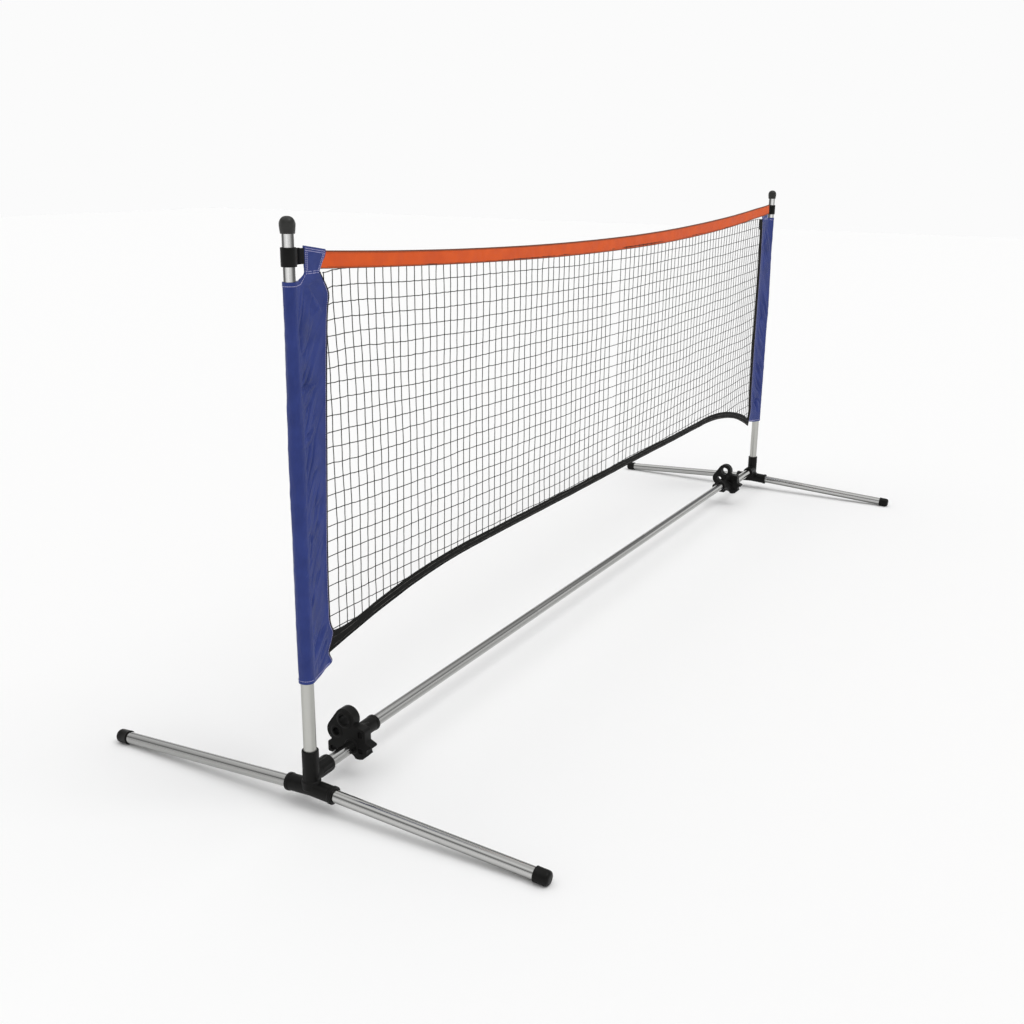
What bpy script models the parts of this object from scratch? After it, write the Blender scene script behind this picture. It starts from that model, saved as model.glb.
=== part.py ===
"""A portable multisport net: two telescopic posts on sloping T feet, joined along the floor by a sectional
bar, with a tape-edged net laced between two fabric sleeves.

Metres, +Z up. X runs along the net, -Y is the front. The origin is on the floor, midway between the posts.
Each end is built once, in a frame whose origin is on the floor under its post and whose +X points at the
middle of the net, and the right end is the mirror image of the left.
"""

import bisect
import math

import bmesh
import bpy
from mathutils import Matrix, Vector

# Overall
SPAN = 4.10  # from post axis to post axis
FIT = 0.00035  # radial clearance of a tube in its socket
GAP = 0.0003  # between pieces that touch
STEPS = 20  # sides of a round piece
HOLE_STEPS = 24

# Base tubes: the feet, the rails, the bar and the lower posts
TUBE_R = 0.019
TUBE_WALL = 0.0012

# Feet
FOOT_REACH = 0.792  # from the post axis to the outer end of a foot cap
FOOT_SLOPE = math.radians(3.0)
CAP_WALL = 0.003
CAP_R = TUBE_R + CAP_WALL
CAP_LENGTH = 0.046
CAP_END = 0.006  # thickness of a cap's closed end
SOLE_DEPTH = 0.0012  # how much of a cap is cut flat where it stands

# Tee
BARREL_WALL = 0.0065
BARREL_R = TUBE_R + BARREL_WALL
BARREL_HALF = 0.085  # from the post axis to the mouth of a foot socket
LIP_RISE = 0.002
LIP_R = BARREL_R + LIP_RISE
LIP_LENGTH = 0.012
SOCKET_WALL = 0.006
SOCKET_R = TUBE_R + SOCKET_WALL
SOCKET_HEIGHT = 0.122  # top of the post socket above the foot axis
POST_SEAT = 0.040  # bottom of the post above the foot axis
RAIL_RISE = 0.042  # rail axis above the foot axis
BRANCH_WALL = 0.0072
BRANCH_R = TUBE_R + BRANCH_WALL
BRANCH_REACH = 0.081  # from the post axis to the mouth of the rail socket
BRANCH_RIBS = 14
RIB_DEPTH = 0.0014
RIB_START = 0.003  # from the post axis
SOCKET_STOP = 0.018  # from the post axis to the end of a foot tube
RAIL_STOP = 0.034  # from the post axis to the end of the rail

# Clip bracket between the rail and the bar
BRACKET_PLACE = {"left": 0.196, "right": 0.390}  # from the post axis to the face towards the tee
PLATE_THICK = 0.034
CRANK_LENGTH = 0.100
CRANK_EASE = 0.050  # length over which the crank climbs
CRANK_WALL = 0.0055
CRANK_R = TUBE_R + CRANK_WALL
WEB_THICK = 0.014
WEB_ACROSS = -0.008  # middle of the web, from the bar axis
WEB_RISE = 0.048  # top of the web at the plate, above the bar axis
CRANK_OFFSET = Vector((0, 0.012, 0.0205))  # from the rail axis to the bar axis
BAR_SEAT = 0.032
RAIL_SEAT = 0.028
BOSS_R = CRANK_R
BOSS_RISE = 0.004
RIM_RISE = 0.002
RIM_WALL = 0.007
BIG_RING = (0.014, 0.062, 0.036, 0.019)  # centre across, centre up, outer and hole radius
SMALL_RING = (0.044, 0.017, 0.037, 0.013)
PLATE_BOTTOM = -0.061  # below the bar axis
ARCH = (-0.007, -0.066, 0.018)  # centre across, centre up, radius
SIDE_CLIP = (-0.081, -0.031, 0.0155)
SHOULDER_UP = 0.043
SHOULDER_RIGHT = -0.062
LEFT_EDGE = 0.080
NOTCH = (0.069, -0.022)

# Bar
BAR_SECTIONS = 3
FERRULE_LENGTH = 0.24
SEAM = 0.0005

# Posts
UPPER_PLAY = 0.0021  # between the upper post and the bore of the lower one
UPPER_R = TUBE_R - TUBE_WALL - UPPER_PLAY
UPPER_WALL = 0.0012
LOWER_TOP = 0.700
POST_OVERLAP = 0.120
POST_TOP = 1.672
BUSH_WALL = 0.0018
BUSH_R = TUBE_R + BUSH_WALL
BUSH_RIM = 0.014
BUSH_SPIGOT = 0.040
COLLET_INSET = 0.0026
COLLET_R = BUSH_R - COLLET_INSET
COLLET_HEIGHT = 0.013
COLLET_SLITS = 4
SLIT_WIDTH = 0.002
RING_HEIGHT = 0.024
RING_RIBS = 10
GLIDE_LENGTH = 0.030
GLIDE_LIP = 0.003
DOME_WALL = 0.0056
DOME_R = UPPER_R + DOME_WALL
DOME_SKIRT = 0.028  # how far the cap reaches down over the post
DOME_RISE = 0.016  # top of the cap above the post

# Net collar
COLLAR_WALL = 0.0051
COLLAR_R = UPPER_R + COLLAR_WALL
COLLAR_DROP = 0.062  # from the post's top down to the collar
COLLAR_HEIGHT = 0.049
TAB_REACH = 0.046
TAB_THICK = 0.006
TAB_RISE = 0.002  # bottom of the tab above the collar's
TAB_HEIGHT = 0.044
TAB_CHAMFER = 0.004
SLOT_NEAR = 0.033
SLOT_WIDTH = 0.0065
SLOT_HEIGHT = 0.036
STRAP_THICK = 0.0022
STRAP_HEIGHT = 0.033

# Sleeve and header
SLEEVE_PLAY = 0.0042  # from the lower post to the outside of the sleeve
SLEEVE_R = TUBE_R + SLEEVE_PLAY
SLEEVE_WALL = 0.0014
SLEEVE_BOTTOM = 0.400
SLEEVE_DROP = 0.038  # from the collar down to the sleeve
PANEL_REACH = 0.138  # from the post axis to the sewn edge of the net
PANEL_THICK = 0.0026
FOLD_DEPTH = 0.0035
FOLD_COUNT = 3.5
FOLD_SLANT = 9.0
SLEEVE_STATIONS = 13
HEADER_NEAR = 0.059
HEADER_FAR = 0.151
HEADER_NECK = 0.127
HEADER_HEIGHT = 0.089
HEADER_THICK = 0.0066
HEADER_FOLD = 0.012  # solid width of the header at its fold

# Bands and net
TOP_BAND_DROP = 0.067  # from the header's top to the band's top edge halfway along
TOP_BAND_RISE = 0.058  # how much higher its ends are
TOP_BAND_WIDTH = 0.052
BOTTOM_BAND_MIDDLE = 0.542  # height of its bottom edge along the level stretch
BOTTOM_BAND_DROP = {"left": 0.085, "right": 0.150}  # how much lower its ends are
BOTTOM_BAND_LEVEL = 1.15  # half length of the level stretch
BOTTOM_BAND_WIDTH = 0.032
BAND_THICK = 0.0028
NET_GAP = 0.165
NET_CORD = 0.0030

# Sizes worked out from those above
FOOT_AXIS_Z = CAP_R - SOLE_DEPTH + (FOOT_REACH - CAP_LENGTH / 2) * math.tan(FOOT_SLOPE)
RAIL_Z = FOOT_AXIS_Z + RAIL_RISE
TUBE_BORE = TUBE_R - TUBE_WALL
UPPER_BORE = UPPER_R - UPPER_WALL
SOCKET_BORE = TUBE_R + FIT
TEE_TOP = FOOT_AXIS_Z + SOCKET_HEIGHT
DOME_BOTTOM = POST_TOP - DOME_SKIRT
DOME_TOP = POST_TOP + DOME_RISE
COLLAR_BOTTOM = POST_TOP - COLLAR_DROP - COLLAR_HEIGHT
TAB_BOTTOM = COLLAR_BOTTOM + TAB_RISE
SLEEVE_TOP = COLLAR_BOTTOM - SLEEVE_DROP
HEADER_TOP = SLEEVE_TOP + HEADER_HEIGHT
TOP_BAND_MIDDLE = HEADER_TOP - TOP_BAND_DROP
BUSH_TOP = LOWER_TOP + GAP + BUSH_RIM
NET_HALF = SPAN / 2 - PANEL_REACH
TURNS = [math.tau * k / STEPS for k in range(STEPS)]

BLACK_PLASTIC = ((0.018, 0.018, 0.019), 0.45, 0.0)
STEEL = ((0.62, 0.62, 0.60), 0.28, 1.0)
GREY_STEEL = ((0.44, 0.44, 0.42), 0.45, 0.6)
NATURAL_PLASTIC = ((0.55, 0.55, 0.53), 0.5, 0.0)
BLUE_NYLON = ((0.045, 0.06, 0.23), 0.75, 0.0)
DARK_WEBBING = ((0.03, 0.03, 0.035), 0.85, 0.0)
ORANGE_TAPE = ((0.80, 0.11, 0.025), 0.7, 0.0)
BLACK_TAPE = ((0.02, 0.02, 0.022), 0.85, 0.0)
NET_CORD_BLACK = ((0.05, 0.05, 0.055), 0.8, 0.0)


def clear_scene():
    for obj in list(bpy.data.objects):
        bpy.data.objects.remove(obj, do_unlink=True)


def mesh_from(shape, name):
    """The bmesh as a mesh with its faces pointing out, shaded smooth except at its sharp edges."""
    bmesh.ops.recalc_face_normals(shape, faces=shape.faces)
    mesh = bpy.data.meshes.new(name)
    shape.to_mesh(mesh)
    shape.free()
    mesh.shade_smooth()
    mesh.set_sharp_from_angle(angle=math.radians(35))
    return mesh


def turned(profile, hollow=False, steps=STEPS):
    """A solid turned about Z from (radius, height) points down its outer side. A hollow one closes on itself."""
    shape = bmesh.new()
    points = [shape.verts.new((radius, 0, height)) for radius, height in profile]
    pairs = list(zip(points, points[1:]))
    if hollow:
        pairs.append((points[-1], points[0]))
    edges = [shape.edges.new(pair) for pair in pairs]
    bmesh.ops.spin(shape, geom=points + edges, axis=(0, 0, 1), angle=math.tau, steps=steps, use_merge=True)
    bmesh.ops.remove_doubles(shape, verts=shape.verts, dist=1e-6)
    return mesh_from(shape, "turned")


def pipe(outer, inner, bottom, top):
    return turned([(outer, top), (outer, bottom), (inner, bottom), (inner, top)], hollow=True)


def rod(radius, bottom, top, steps=STEPS):
    return turned([(0, top), (radius, top), (radius, bottom), (0, bottom)], steps=steps)


def block(low, high):
    shape = bmesh.new()
    bmesh.ops.create_cube(shape, size=1)
    middle = (Vector(low) + Vector(high)) / 2
    size = Vector(high) - Vector(low)
    bmesh.ops.transform(shape, matrix=Matrix.Translation(middle) @ Matrix.Diagonal(size).to_4x4(), verts=shape.verts)
    return mesh_from(shape, "block")


def extruded(outline, low, high, place):
    """A prism whose outline is a list of 2-D points. The function place turns (a, b, depth) into a point."""
    shape = bmesh.new()
    face = shape.faces.new([shape.verts.new(place(a, b, low)) for a, b in outline])
    raised = bmesh.ops.extrude_face_region(shape, geom=[face])["geom"]
    shift = Vector(place(0, 0, high)) - Vector(place(0, 0, low))
    bmesh.ops.translate(shape, vec=shift, verts=[item for item in raised if isinstance(item, bmesh.types.BMVert)])
    return mesh_from(shape, "extruded")


def lofted(rings):
    """A solid skinned over rings of as many points each, with a flat face at each end."""
    shape = bmesh.new()
    rows = [[shape.verts.new(point) for point in ring] for ring in rings]
    for row, after in zip(rows, rows[1:]):
        for i in range(len(row)):
            j = (i + 1) % len(row)
            shape.faces.new((row[i], row[j], after[j], after[i]))
    shape.faces.new(rows[0])
    shape.faces.new(rows[-1])
    return mesh_from(shape, "lofted")


def moved(mesh, matrix):
    copy = mesh.copy()
    copy.transform(matrix)
    return copy


def arc(centre, radius, start, end, count):
    """Points on an arc, with angles in degrees from the first axis towards the second."""
    turns = [math.radians(start + (end - start) * i / (count - 1)) for i in range(count)]
    return [(centre[0] + radius * math.cos(turn), centre[1] + radius * math.sin(turn)) for turn in turns]


def combined(base, joins=(), cuts=()):
    """The mesh of base with the other meshes joined to it and then the cutters taken away."""
    scene = bpy.context.scene.collection
    body = bpy.data.objects.new("body", base)
    helpers = [body]
    scene.objects.link(body)
    for operation, meshes in (("UNION", joins), ("DIFFERENCE", cuts)):
        for mesh in meshes:
            helper = bpy.data.objects.new("helper", mesh)
            scene.objects.link(helper)
            helpers.append(helper)
            boolean = body.modifiers.new(operation.title(), "BOOLEAN")
            boolean.operation = operation
            boolean.object = helper
    bpy.context.view_layer.update()
    graph = bpy.context.evaluated_depsgraph_get()
    result = bpy.data.meshes.new_from_object(body.evaluated_get(graph))
    for helper in helpers:
        bpy.data.objects.remove(helper)
    shape = bmesh.new()
    shape.from_mesh(result)
    bmesh.ops.remove_doubles(shape, verts=shape.verts, dist=1e-6)
    bmesh.ops.dissolve_limit(shape, angle_limit=math.radians(0.5), verts=shape.verts, edges=shape.edges)
    return mesh_from(shape, "combined")


def material_for(name, finish):
    colour, roughness, metallic = finish
    material = bpy.data.materials.new(name)
    material.use_nodes = True
    shader = material.node_tree.nodes["Principled BSDF"]
    shader.inputs["Base Color"].default_value = (*colour, 1)
    shader.inputs["Roughness"].default_value = roughness
    shader.inputs["Metallic"].default_value = metallic
    return material


def put(name, mesh, finish, parent=None, turn=0.0):
    """A named piece with its own material. turn is its rotation about Z, in degrees."""
    piece = bpy.data.objects.new(name, mesh.copy())
    piece.data.name = name
    piece.data.materials.clear()
    piece.data.materials.append(material_for(name, finish))
    piece.parent = parent
    piece.rotation_euler.z = math.radians(turn)
    bpy.context.scene.collection.objects.link(piece)
    return piece


def end_frame(side):
    """An empty on the floor under the post, with +X towards the middle of the net."""
    sign = {"left": -1, "right": 1}[side]
    frame = bpy.data.objects.new(f"{side}_end", None)
    frame.location.x = sign * SPAN / 2
    frame.scale.x = -sign
    bpy.context.scene.collection.objects.link(frame)
    return frame


# Axes that turned pieces are laid along, in the frame of an end
FOOT_TURN = Matrix.Rotation(math.pi / 2 + FOOT_SLOPE, 4, "X")
FOOT_UP = Matrix.Translation((0, 0, FOOT_AXIS_Z))
FOOT_MATRIX = FOOT_UP @ FOOT_TURN
ALONG_X = Matrix.Rotation(math.pi / 2, 4, "Y")
REAR = Matrix.Rotation(math.pi, 4, "Z")
RAIL_TURN = Matrix.Translation((0, 0, RAIL_RISE)) @ ALONG_X
RAIL_MATRIX = FOOT_UP @ RAIL_TURN


def foot_tube():
    end = FOOT_REACH - CAP_END - GAP
    return moved(pipe(TUBE_R, TUBE_BORE, SOCKET_STOP + GAP, end), FOOT_MATRIX)


def foot_cap():
    """A domed cap over the end of a foot tube."""
    inner = FOOT_REACH - CAP_LENGTH
    bore_end = FOOT_REACH - CAP_END
    rim = 0.0012
    outside = [(CAP_R - rim, inner), (CAP_R, inner + rim), (CAP_R, FOOT_REACH - 0.010)]
    outside += [(CAP_R * 0.93, FOOT_REACH - 0.0045), (CAP_R * 0.72, FOOT_REACH - 0.001), (0, FOOT_REACH)]
    inside = [(0, bore_end), (SOCKET_BORE, bore_end), (SOCKET_BORE, inner)]
    cap = moved(turned(inside + outside), FOOT_MATRIX)
    below = block((-2 * CAP_R, -FOOT_REACH - CAP_R, -CAP_R), (2 * CAP_R, CAP_LENGTH - FOOT_REACH + CAP_R, 0))
    return combined(cap, cuts=[below])


def socket_bore(matrix, low, high):
    return moved(rod(SOCKET_BORE, low, high), matrix)


def ribbed_branch():
    """The rail socket: a round barrel with lengthwise ribs and a plain rim at its mouth."""
    rib_end = BRANCH_REACH - 0.012
    points = []
    for i in range(BRANCH_RIBS * 2):
        turn = math.pi * i / BRANCH_RIBS
        radius = BRANCH_R - RIB_DEPTH * (i % 2)
        points.append((radius * math.cos(turn), radius * math.sin(turn)))
    ribs = extruded(points, RIB_START, rib_end, lambda a, b, depth: (a, b, depth))
    rim = rod(BRANCH_R + 0.0004, rib_end - 0.001, BRANCH_REACH)
    return moved(ribs, RAIL_TURN), moved(rim, RAIL_TURN)


def foot_barrel():
    """Both foot sockets as one barrel that bends down each way from the post axis."""
    lip = BARREL_HALF - LIP_LENGTH
    outside = [(BARREL_HALF, LIP_R - 0.001), (BARREL_HALF - 0.0015, LIP_R), (lip + 0.004, LIP_R), (lip, BARREL_R)]
    front = []
    for reach, radius in outside:
        ring = [(radius * math.sin(turn), radius * math.cos(turn), reach) for turn in TURNS]
        front.append([FOOT_TURN @ Vector(point) for point in ring])
    radius = BARREL_R + 0.001
    middle = [Vector((radius * math.sin(turn), 0, radius * math.cos(turn))) for turn in TURNS]
    rear = [[Vector((point.x, -point.y, point.z)) for point in ring] for ring in front]
    return lofted(front + [middle] + rear[::-1])


def base_tee():
    """The moulded foot: two foot barrels that slope down, the post socket and the ribbed rail socket."""
    tower = [(0, SOCKET_HEIGHT), (SOCKET_R - 0.0008, SOCKET_HEIGHT), (SOCKET_R, SOCKET_HEIGHT - 0.0012)]
    for groove in (0.008, 0.014):
        top = SOCKET_HEIGHT - groove
        tower += [(SOCKET_R, top), (SOCKET_R - 0.0006, top - 0.0008)]
        tower += [(SOCKET_R - 0.0006, top - 0.0020), (SOCKET_R, top - 0.0028)]
    tower += [(SOCKET_R + 0.0004, BARREL_R + 0.022), (SOCKET_R + 0.0040, BARREL_R - 0.004)]
    tower += [(SOCKET_R + 0.0040, 0), (0, 0)]
    ribs, rim = ribbed_branch()
    post_bore = rod(SOCKET_BORE, POST_SEAT, SOCKET_HEIGHT + 0.01)
    front_bore = socket_bore(FOOT_TURN, SOCKET_STOP, BARREL_HALF + 0.01)
    rail_bore = socket_bore(RAIL_TURN, RAIL_STOP, BRANCH_REACH + 0.01)
    cuts = [post_bore, front_bore, moved(front_bore, REAR), rail_bore]
    half_step = Matrix.Rotation(math.pi / STEPS, 4, "Z")
    joins = [moved(turned(tower), half_step), ribs, rim]
    return moved(combined(foot_barrel(), joins=joins, cuts=cuts), FOOT_UP)


def tangent_turn(first, second):
    """The direction in degrees, seen from both centres, in which a line touches both circles on the left."""
    across = Vector((second[0] - first[0], second[1] - first[1]))
    lean = math.asin((first[2] - second[2]) / across.length)
    return math.degrees(math.atan2(across.y, across.x) + math.pi / 2 - lean)


def plate_outline():
    """The bracket's profile, across and up from the bar axis, anticlockwise from the shoulder."""
    touch = tangent_turn(BIG_RING, SMALL_RING)
    shoulder = math.degrees(math.asin((SHOULDER_UP + 0.004 - BIG_RING[1]) / BIG_RING[2]))
    outline = arc((SHOULDER_RIGHT + 0.010, SHOULDER_UP - 0.010), 0.010, 180, 90, 5)
    outline += arc(BIG_RING[:2], BIG_RING[2], 180 - shoulder, touch, 14)
    outline += arc(SMALL_RING[:2], SMALL_RING[2], touch, -55, 8)
    outline += [NOTCH]
    outline += arc((LEFT_EDGE - 0.010, PLATE_BOTTOM + 0.030), 0.010, 60, 0, 3)
    outline += arc((LEFT_EDGE - 0.008, PLATE_BOTTOM + 0.008), 0.008, 0, -90, 4)
    reach = math.sqrt(ARCH[2] ** 2 - (PLATE_BOTTOM - ARCH[1]) ** 2)
    lift = math.degrees(math.asin((PLATE_BOTTOM - ARCH[1]) / ARCH[2]))
    outline += [(ARCH[0] + reach + 0.006, PLATE_BOTTOM)]
    outline += arc(ARCH[:2], ARCH[2], lift, 180 - lift, 11)
    outline += [(ARCH[0] - reach - 0.014, PLATE_BOTTOM), (SHOULDER_RIGHT + 0.010, PLATE_BOTTOM + 0.004)]
    outline += [(SHOULDER_RIGHT, PLATE_BOTTOM + 0.014)]
    outline += arc(SIDE_CLIP[:2], SIDE_CLIP[2], -38, 72, 7)
    outline += arc((SIDE_CLIP[0] + 0.002, SIDE_CLIP[1] + SIDE_CLIP[2] + 0.0055), 0.0055, 250, 90, 5)
    outline += [(SHOULDER_RIGHT, SIDE_CLIP[1] + SIDE_CLIP[2] + 0.018)]
    return outline


def crank_rings(start, length):
    """Rings of the cranked socket, whose centre climbs from the rail axis to the bar axis and then runs level."""
    rings = []
    lip = length - LIP_LENGTH
    stations = [(CRANK_EASE * i / 5, CRANK_R) for i in range(6)]
    stations += [(lip, CRANK_R), (lip + 0.001, CRANK_R + RIB_DEPTH), (length, CRANK_R + RIB_DEPTH)]
    for reach, radius in stations:
        share = min(1.0, reach / CRANK_EASE)
        ease = share * share * (3 - 2 * share)
        centre = Vector((start + reach, 0, RAIL_Z)) + CRANK_OFFSET * ease
        rings.append([centre + Vector((0, radius * math.cos(t), radius * math.sin(t))) for t in TURNS])
    return rings


def crank_web(far, bar):
    """The web that stiffens the crank: its top edge sweeps down in a hollow curve from the plate to the socket."""
    foot = (far + CRANK_EASE + 0.004, CRANK_R - 0.0015)
    outline = [(far - 0.007, -BAR_SEAT / 3), (foot[0], -BAR_SEAT / 3), foot]
    for i in range(1, 8):
        turn = math.pi / 2 * i / 7
        run = 1 - math.sin(turn)
        rise = 1 - math.cos(turn)
        outline.append((far + (foot[0] - far) * run, foot[1] + (WEB_RISE - foot[1]) * rise))
    outline.append((far - 0.007, WEB_RISE))
    low = bar.y + WEB_ACROSS - WEB_THICK / 2
    return extruded(outline, low, low + WEB_THICK, lambda a, b, depth: (a, depth, bar.z + b))


def clip_bracket():
    """The moulded bracket, its face towards the tee at x = 0: a plate with tube rings and clips, a boss for the
    rail and a cranked bar socket."""
    bar = Vector((0, CRANK_OFFSET.y, RAIL_Z + CRANK_OFFSET.z))
    plate = extruded(plate_outline(), 0, PLATE_THICK, lambda a, b, depth: (depth, bar.y + a, bar.z + b))
    boss = moved(rod(BOSS_R, -BOSS_RISE, 0.01), RAIL_MATRIX)
    crank = lofted(crank_rings(PLATE_THICK - 0.004, CRANK_LENGTH + 0.004))
    rims = []
    holes = []
    for across, up, _, hole in (BIG_RING, SMALL_RING):
        axis = Matrix.Translation((0, bar.y + across, bar.z + up)) @ ALONG_X
        rims.append(moved(rod(hole + RIM_WALL, -RIM_RISE, PLATE_THICK + RIM_RISE), axis))
        holes.append(moved(rod(hole, -0.01, PLATE_THICK + 0.01, HOLE_STEPS), axis))
    bar_matrix = Matrix.Translation(bar) @ ALONG_X
    mouth = PLATE_THICK + CRANK_LENGTH
    bores = [moved(rod(SOCKET_BORE, mouth - BAR_SEAT, mouth + 0.01), bar_matrix)]
    bores.append(moved(rod(SOCKET_BORE, -0.01, RAIL_SEAT), RAIL_MATRIX))
    web = crank_web(PLATE_THICK, bar)
    return combined(plate, joins=[boss, crank, web] + rims, cuts=holes + bores)


def rail_tube(place):
    return moved(pipe(TUBE_R, TUBE_BORE, RAIL_STOP + GAP, place + RAIL_SEAT - GAP), RAIL_MATRIX)


def post_bush():
    """The plastic bush on the lower post: a rim, a spigot inside the tube and a slit collet above."""
    bore = UPPER_R + FIT
    spigot = TUBE_BORE - FIT
    bottom = LOWER_TOP - BUSH_SPIGOT
    top = BUSH_TOP + COLLET_HEIGHT
    profile = [(COLLET_R - 0.001, top), (COLLET_R, top - 0.002), (COLLET_R, BUSH_TOP), (BUSH_R, BUSH_TOP)]
    profile += [(BUSH_R, LOWER_TOP + GAP), (spigot, LOWER_TOP + GAP), (spigot, bottom), (bore, bottom), (bore, top)]
    slits = []
    for i in range(COLLET_SLITS):
        slit = block((bore - 0.004, -SLIT_WIDTH / 2, BUSH_TOP + 0.001), (COLLET_R + 0.004, SLIT_WIDTH / 2, top + 0.01))
        slits.append(moved(slit, Matrix.Rotation(math.tau * (i + 0.5) / COLLET_SLITS, 4, "Z")))
    return combined(turned(profile, hollow=True), cuts=slits)


def lock_ring():
    """The ribbed ring that tightens the collet when it is twisted."""
    bottom = BUSH_TOP + GAP
    top = bottom + RING_HEIGHT
    seat = BUSH_TOP + COLLET_HEIGHT + GAP
    wide = COLLET_R + FIT
    narrow = UPPER_R + FIT
    outer = BUSH_R - 0.0012
    profile = [(outer - 0.001, top), (outer, top - 0.001), (outer, bottom), (wide, bottom), (wide, seat)]
    profile += [(narrow, seat), (narrow, top)]
    ribs = []
    for i in range(RING_RIBS):
        rib = block((outer - 0.001, -0.0016, bottom + 0.002), (BUSH_R, 0.0016, top - 0.004))
        ribs.append(moved(rib, Matrix.Rotation(math.tau * (i + 0.5) / RING_RIBS, 4, "Z")))
    return combined(turned(profile, hollow=True), joins=ribs)


def glide_bush():
    """The plastic end of the upper post, which guides it inside the lower one."""
    top = LOWER_TOP - POST_OVERLAP
    plug = UPPER_BORE - FIT
    wide = TUBE_BORE - FIT
    lip = top - GAP
    profile = [(plug, top + GLIDE_LENGTH / 2), (plug, lip), (wide, lip), (wide, lip - GLIDE_LIP * 3)]
    profile += [(wide - 0.001, lip - GLIDE_LIP * 4), (plug - 0.0025, lip - GLIDE_LIP * 4)]
    profile += [(plug - 0.0025, top + GLIDE_LENGTH / 2)]
    return turned(profile, hollow=True)


def dome_cap():
    """The cap on the top of a post: a bulging dome with a plug-over skirt."""
    height = DOME_TOP - DOME_BOTTOM
    bore = UPPER_R + FIT
    shape = [(0.0, 1.0), (0.30, 0.985), (0.58, 0.93), (0.82, 0.80), (0.96, 0.62), (1.0, 0.45), (0.97, 0.25), (0.90, 0.0)]
    profile = [(DOME_R * across, DOME_BOTTOM + height * up) for across, up in shape]
    profile += [(bore, DOME_BOTTOM), (bore, POST_TOP + GAP), (0, POST_TOP + GAP)]
    return turned(profile)


def net_collar():
    """The collar that holds the net's end, with a chamfered tab and the slot its strap goes through."""
    top = COLLAR_BOTTOM + COLLAR_HEIGHT
    bore = UPPER_R + FIT
    chamfer = 0.001
    profile = [(COLLAR_R - chamfer, top), (COLLAR_R, top - chamfer), (COLLAR_R, COLLAR_BOTTOM + chamfer)]
    profile += [(COLLAR_R - chamfer, COLLAR_BOTTOM), (bore, COLLAR_BOTTOM), (bore, top)]
    tab_top = TAB_BOTTOM + TAB_HEIGHT
    outline = [(bore + 0.002, TAB_BOTTOM), (TAB_REACH, TAB_BOTTOM + 0.004), (TAB_REACH, tab_top - TAB_CHAMFER)]
    outline += [(TAB_REACH - TAB_CHAMFER, tab_top), (bore + 0.002, tab_top)]
    half = TAB_THICK / 2
    tab = extruded(outline, -half, half, lambda a, b, depth: (a, depth, b))
    middle = TAB_BOTTOM + TAB_HEIGHT / 2
    low = (SLOT_NEAR, -TAB_THICK, middle - SLOT_HEIGHT / 2)
    high = (SLOT_NEAR + SLOT_WIDTH, TAB_THICK, middle + SLOT_HEIGHT / 2)
    return combined(turned(profile, hollow=True), joins=[tab], cuts=[block(low, high)])


def net_strap():
    """The loop of webbing through the tab's slot, sewn to the fold of the header."""
    middle = TAB_BOTTOM + TAB_HEIGHT / 2
    slot_middle = SLOT_NEAR + SLOT_WIDTH / 2
    near = slot_middle - STRAP_THICK / 2
    far = HEADER_NEAR - GAP
    half = TAB_THICK / 2 + 2 * GAP + STRAP_THICK
    low, high = middle - STRAP_HEIGHT / 2, middle + STRAP_HEIGHT / 2
    outer = block((near, -half, low), (far, half, high))
    hole_half = half - STRAP_THICK
    hole = block((near + STRAP_THICK, -hole_half, low - 0.01), (far - STRAP_THICK, hole_half, high + 0.01))
    return combined(outer, cuts=[hole])


def fold_depth(share, z):
    """How far the panel swings out of its plane: slanting folds that fade out at the post and at both hems."""
    up = (z - SLEEVE_BOTTOM) / (SLEEVE_TOP - SLEEVE_BOTTOM)
    fade = min(1.0, 5 * up, 5 * (1 - up)) * math.sin(math.pi * min(1.0, share * 1.1))
    return FOLD_DEPTH * fade * math.sin(FOLD_COUNT * math.tau * up + FOLD_SLANT * share)


def sleeve():
    """The fabric sleeve: a pocket round the post and a doubled panel to the net, with its main folds."""
    inner_r = SLEEVE_R - SLEEVE_WALL
    half = PANEL_THICK / 2
    mouth = math.degrees(math.asin(half / SLEEVE_R))
    shape = bmesh.new()
    outer_rows, inner_rows = [], []
    for i in range(SLEEVE_STATIONS):
        z = SLEEVE_BOTTOM + (SLEEVE_TOP - SLEEVE_BOTTOM) * i / (SLEEVE_STATIONS - 1)
        ring = arc((0, 0), SLEEVE_R, mouth, 360 - mouth, STEPS - 3)
        start = ring[0][0]
        points = [(x, y, z) for x, y in ring]
        for side in (-1, 1):
            for share in ((0.34, 0.67, 1.0) if side < 0 else (1.0, 0.67, 0.34)):
                x = start + (PANEL_REACH - GAP - start) * share
                points.append((x, side * half + fold_depth(share, z), z))
        outer_rows.append([shape.verts.new(point) for point in points])
        hole = arc((0, 0), inner_r, 0, 360 - 360 / (STEPS - 4), STEPS - 4)
        inner_rows.append([shape.verts.new((x, y, z)) for x, y in hole])
    for rows in (outer_rows, inner_rows):
        for row, after in zip(rows, rows[1:]):
            for i in range(len(row)):
                j = (i + 1) % len(row)
                shape.faces.new((row[i], row[j], after[j], after[i]))
    for outer, inner in ((outer_rows[0], inner_rows[0]), (outer_rows[-1], inner_rows[-1])):
        edges = []
        for loop in (outer, inner):
            edges += [shape.edges.get((loop[i - 1], loop[i])) for i in range(len(loop))]
        bmesh.ops.triangle_fill(shape, use_beauty=True, edges=edges)
    return mesh_from(shape, "sleeve")


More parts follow.
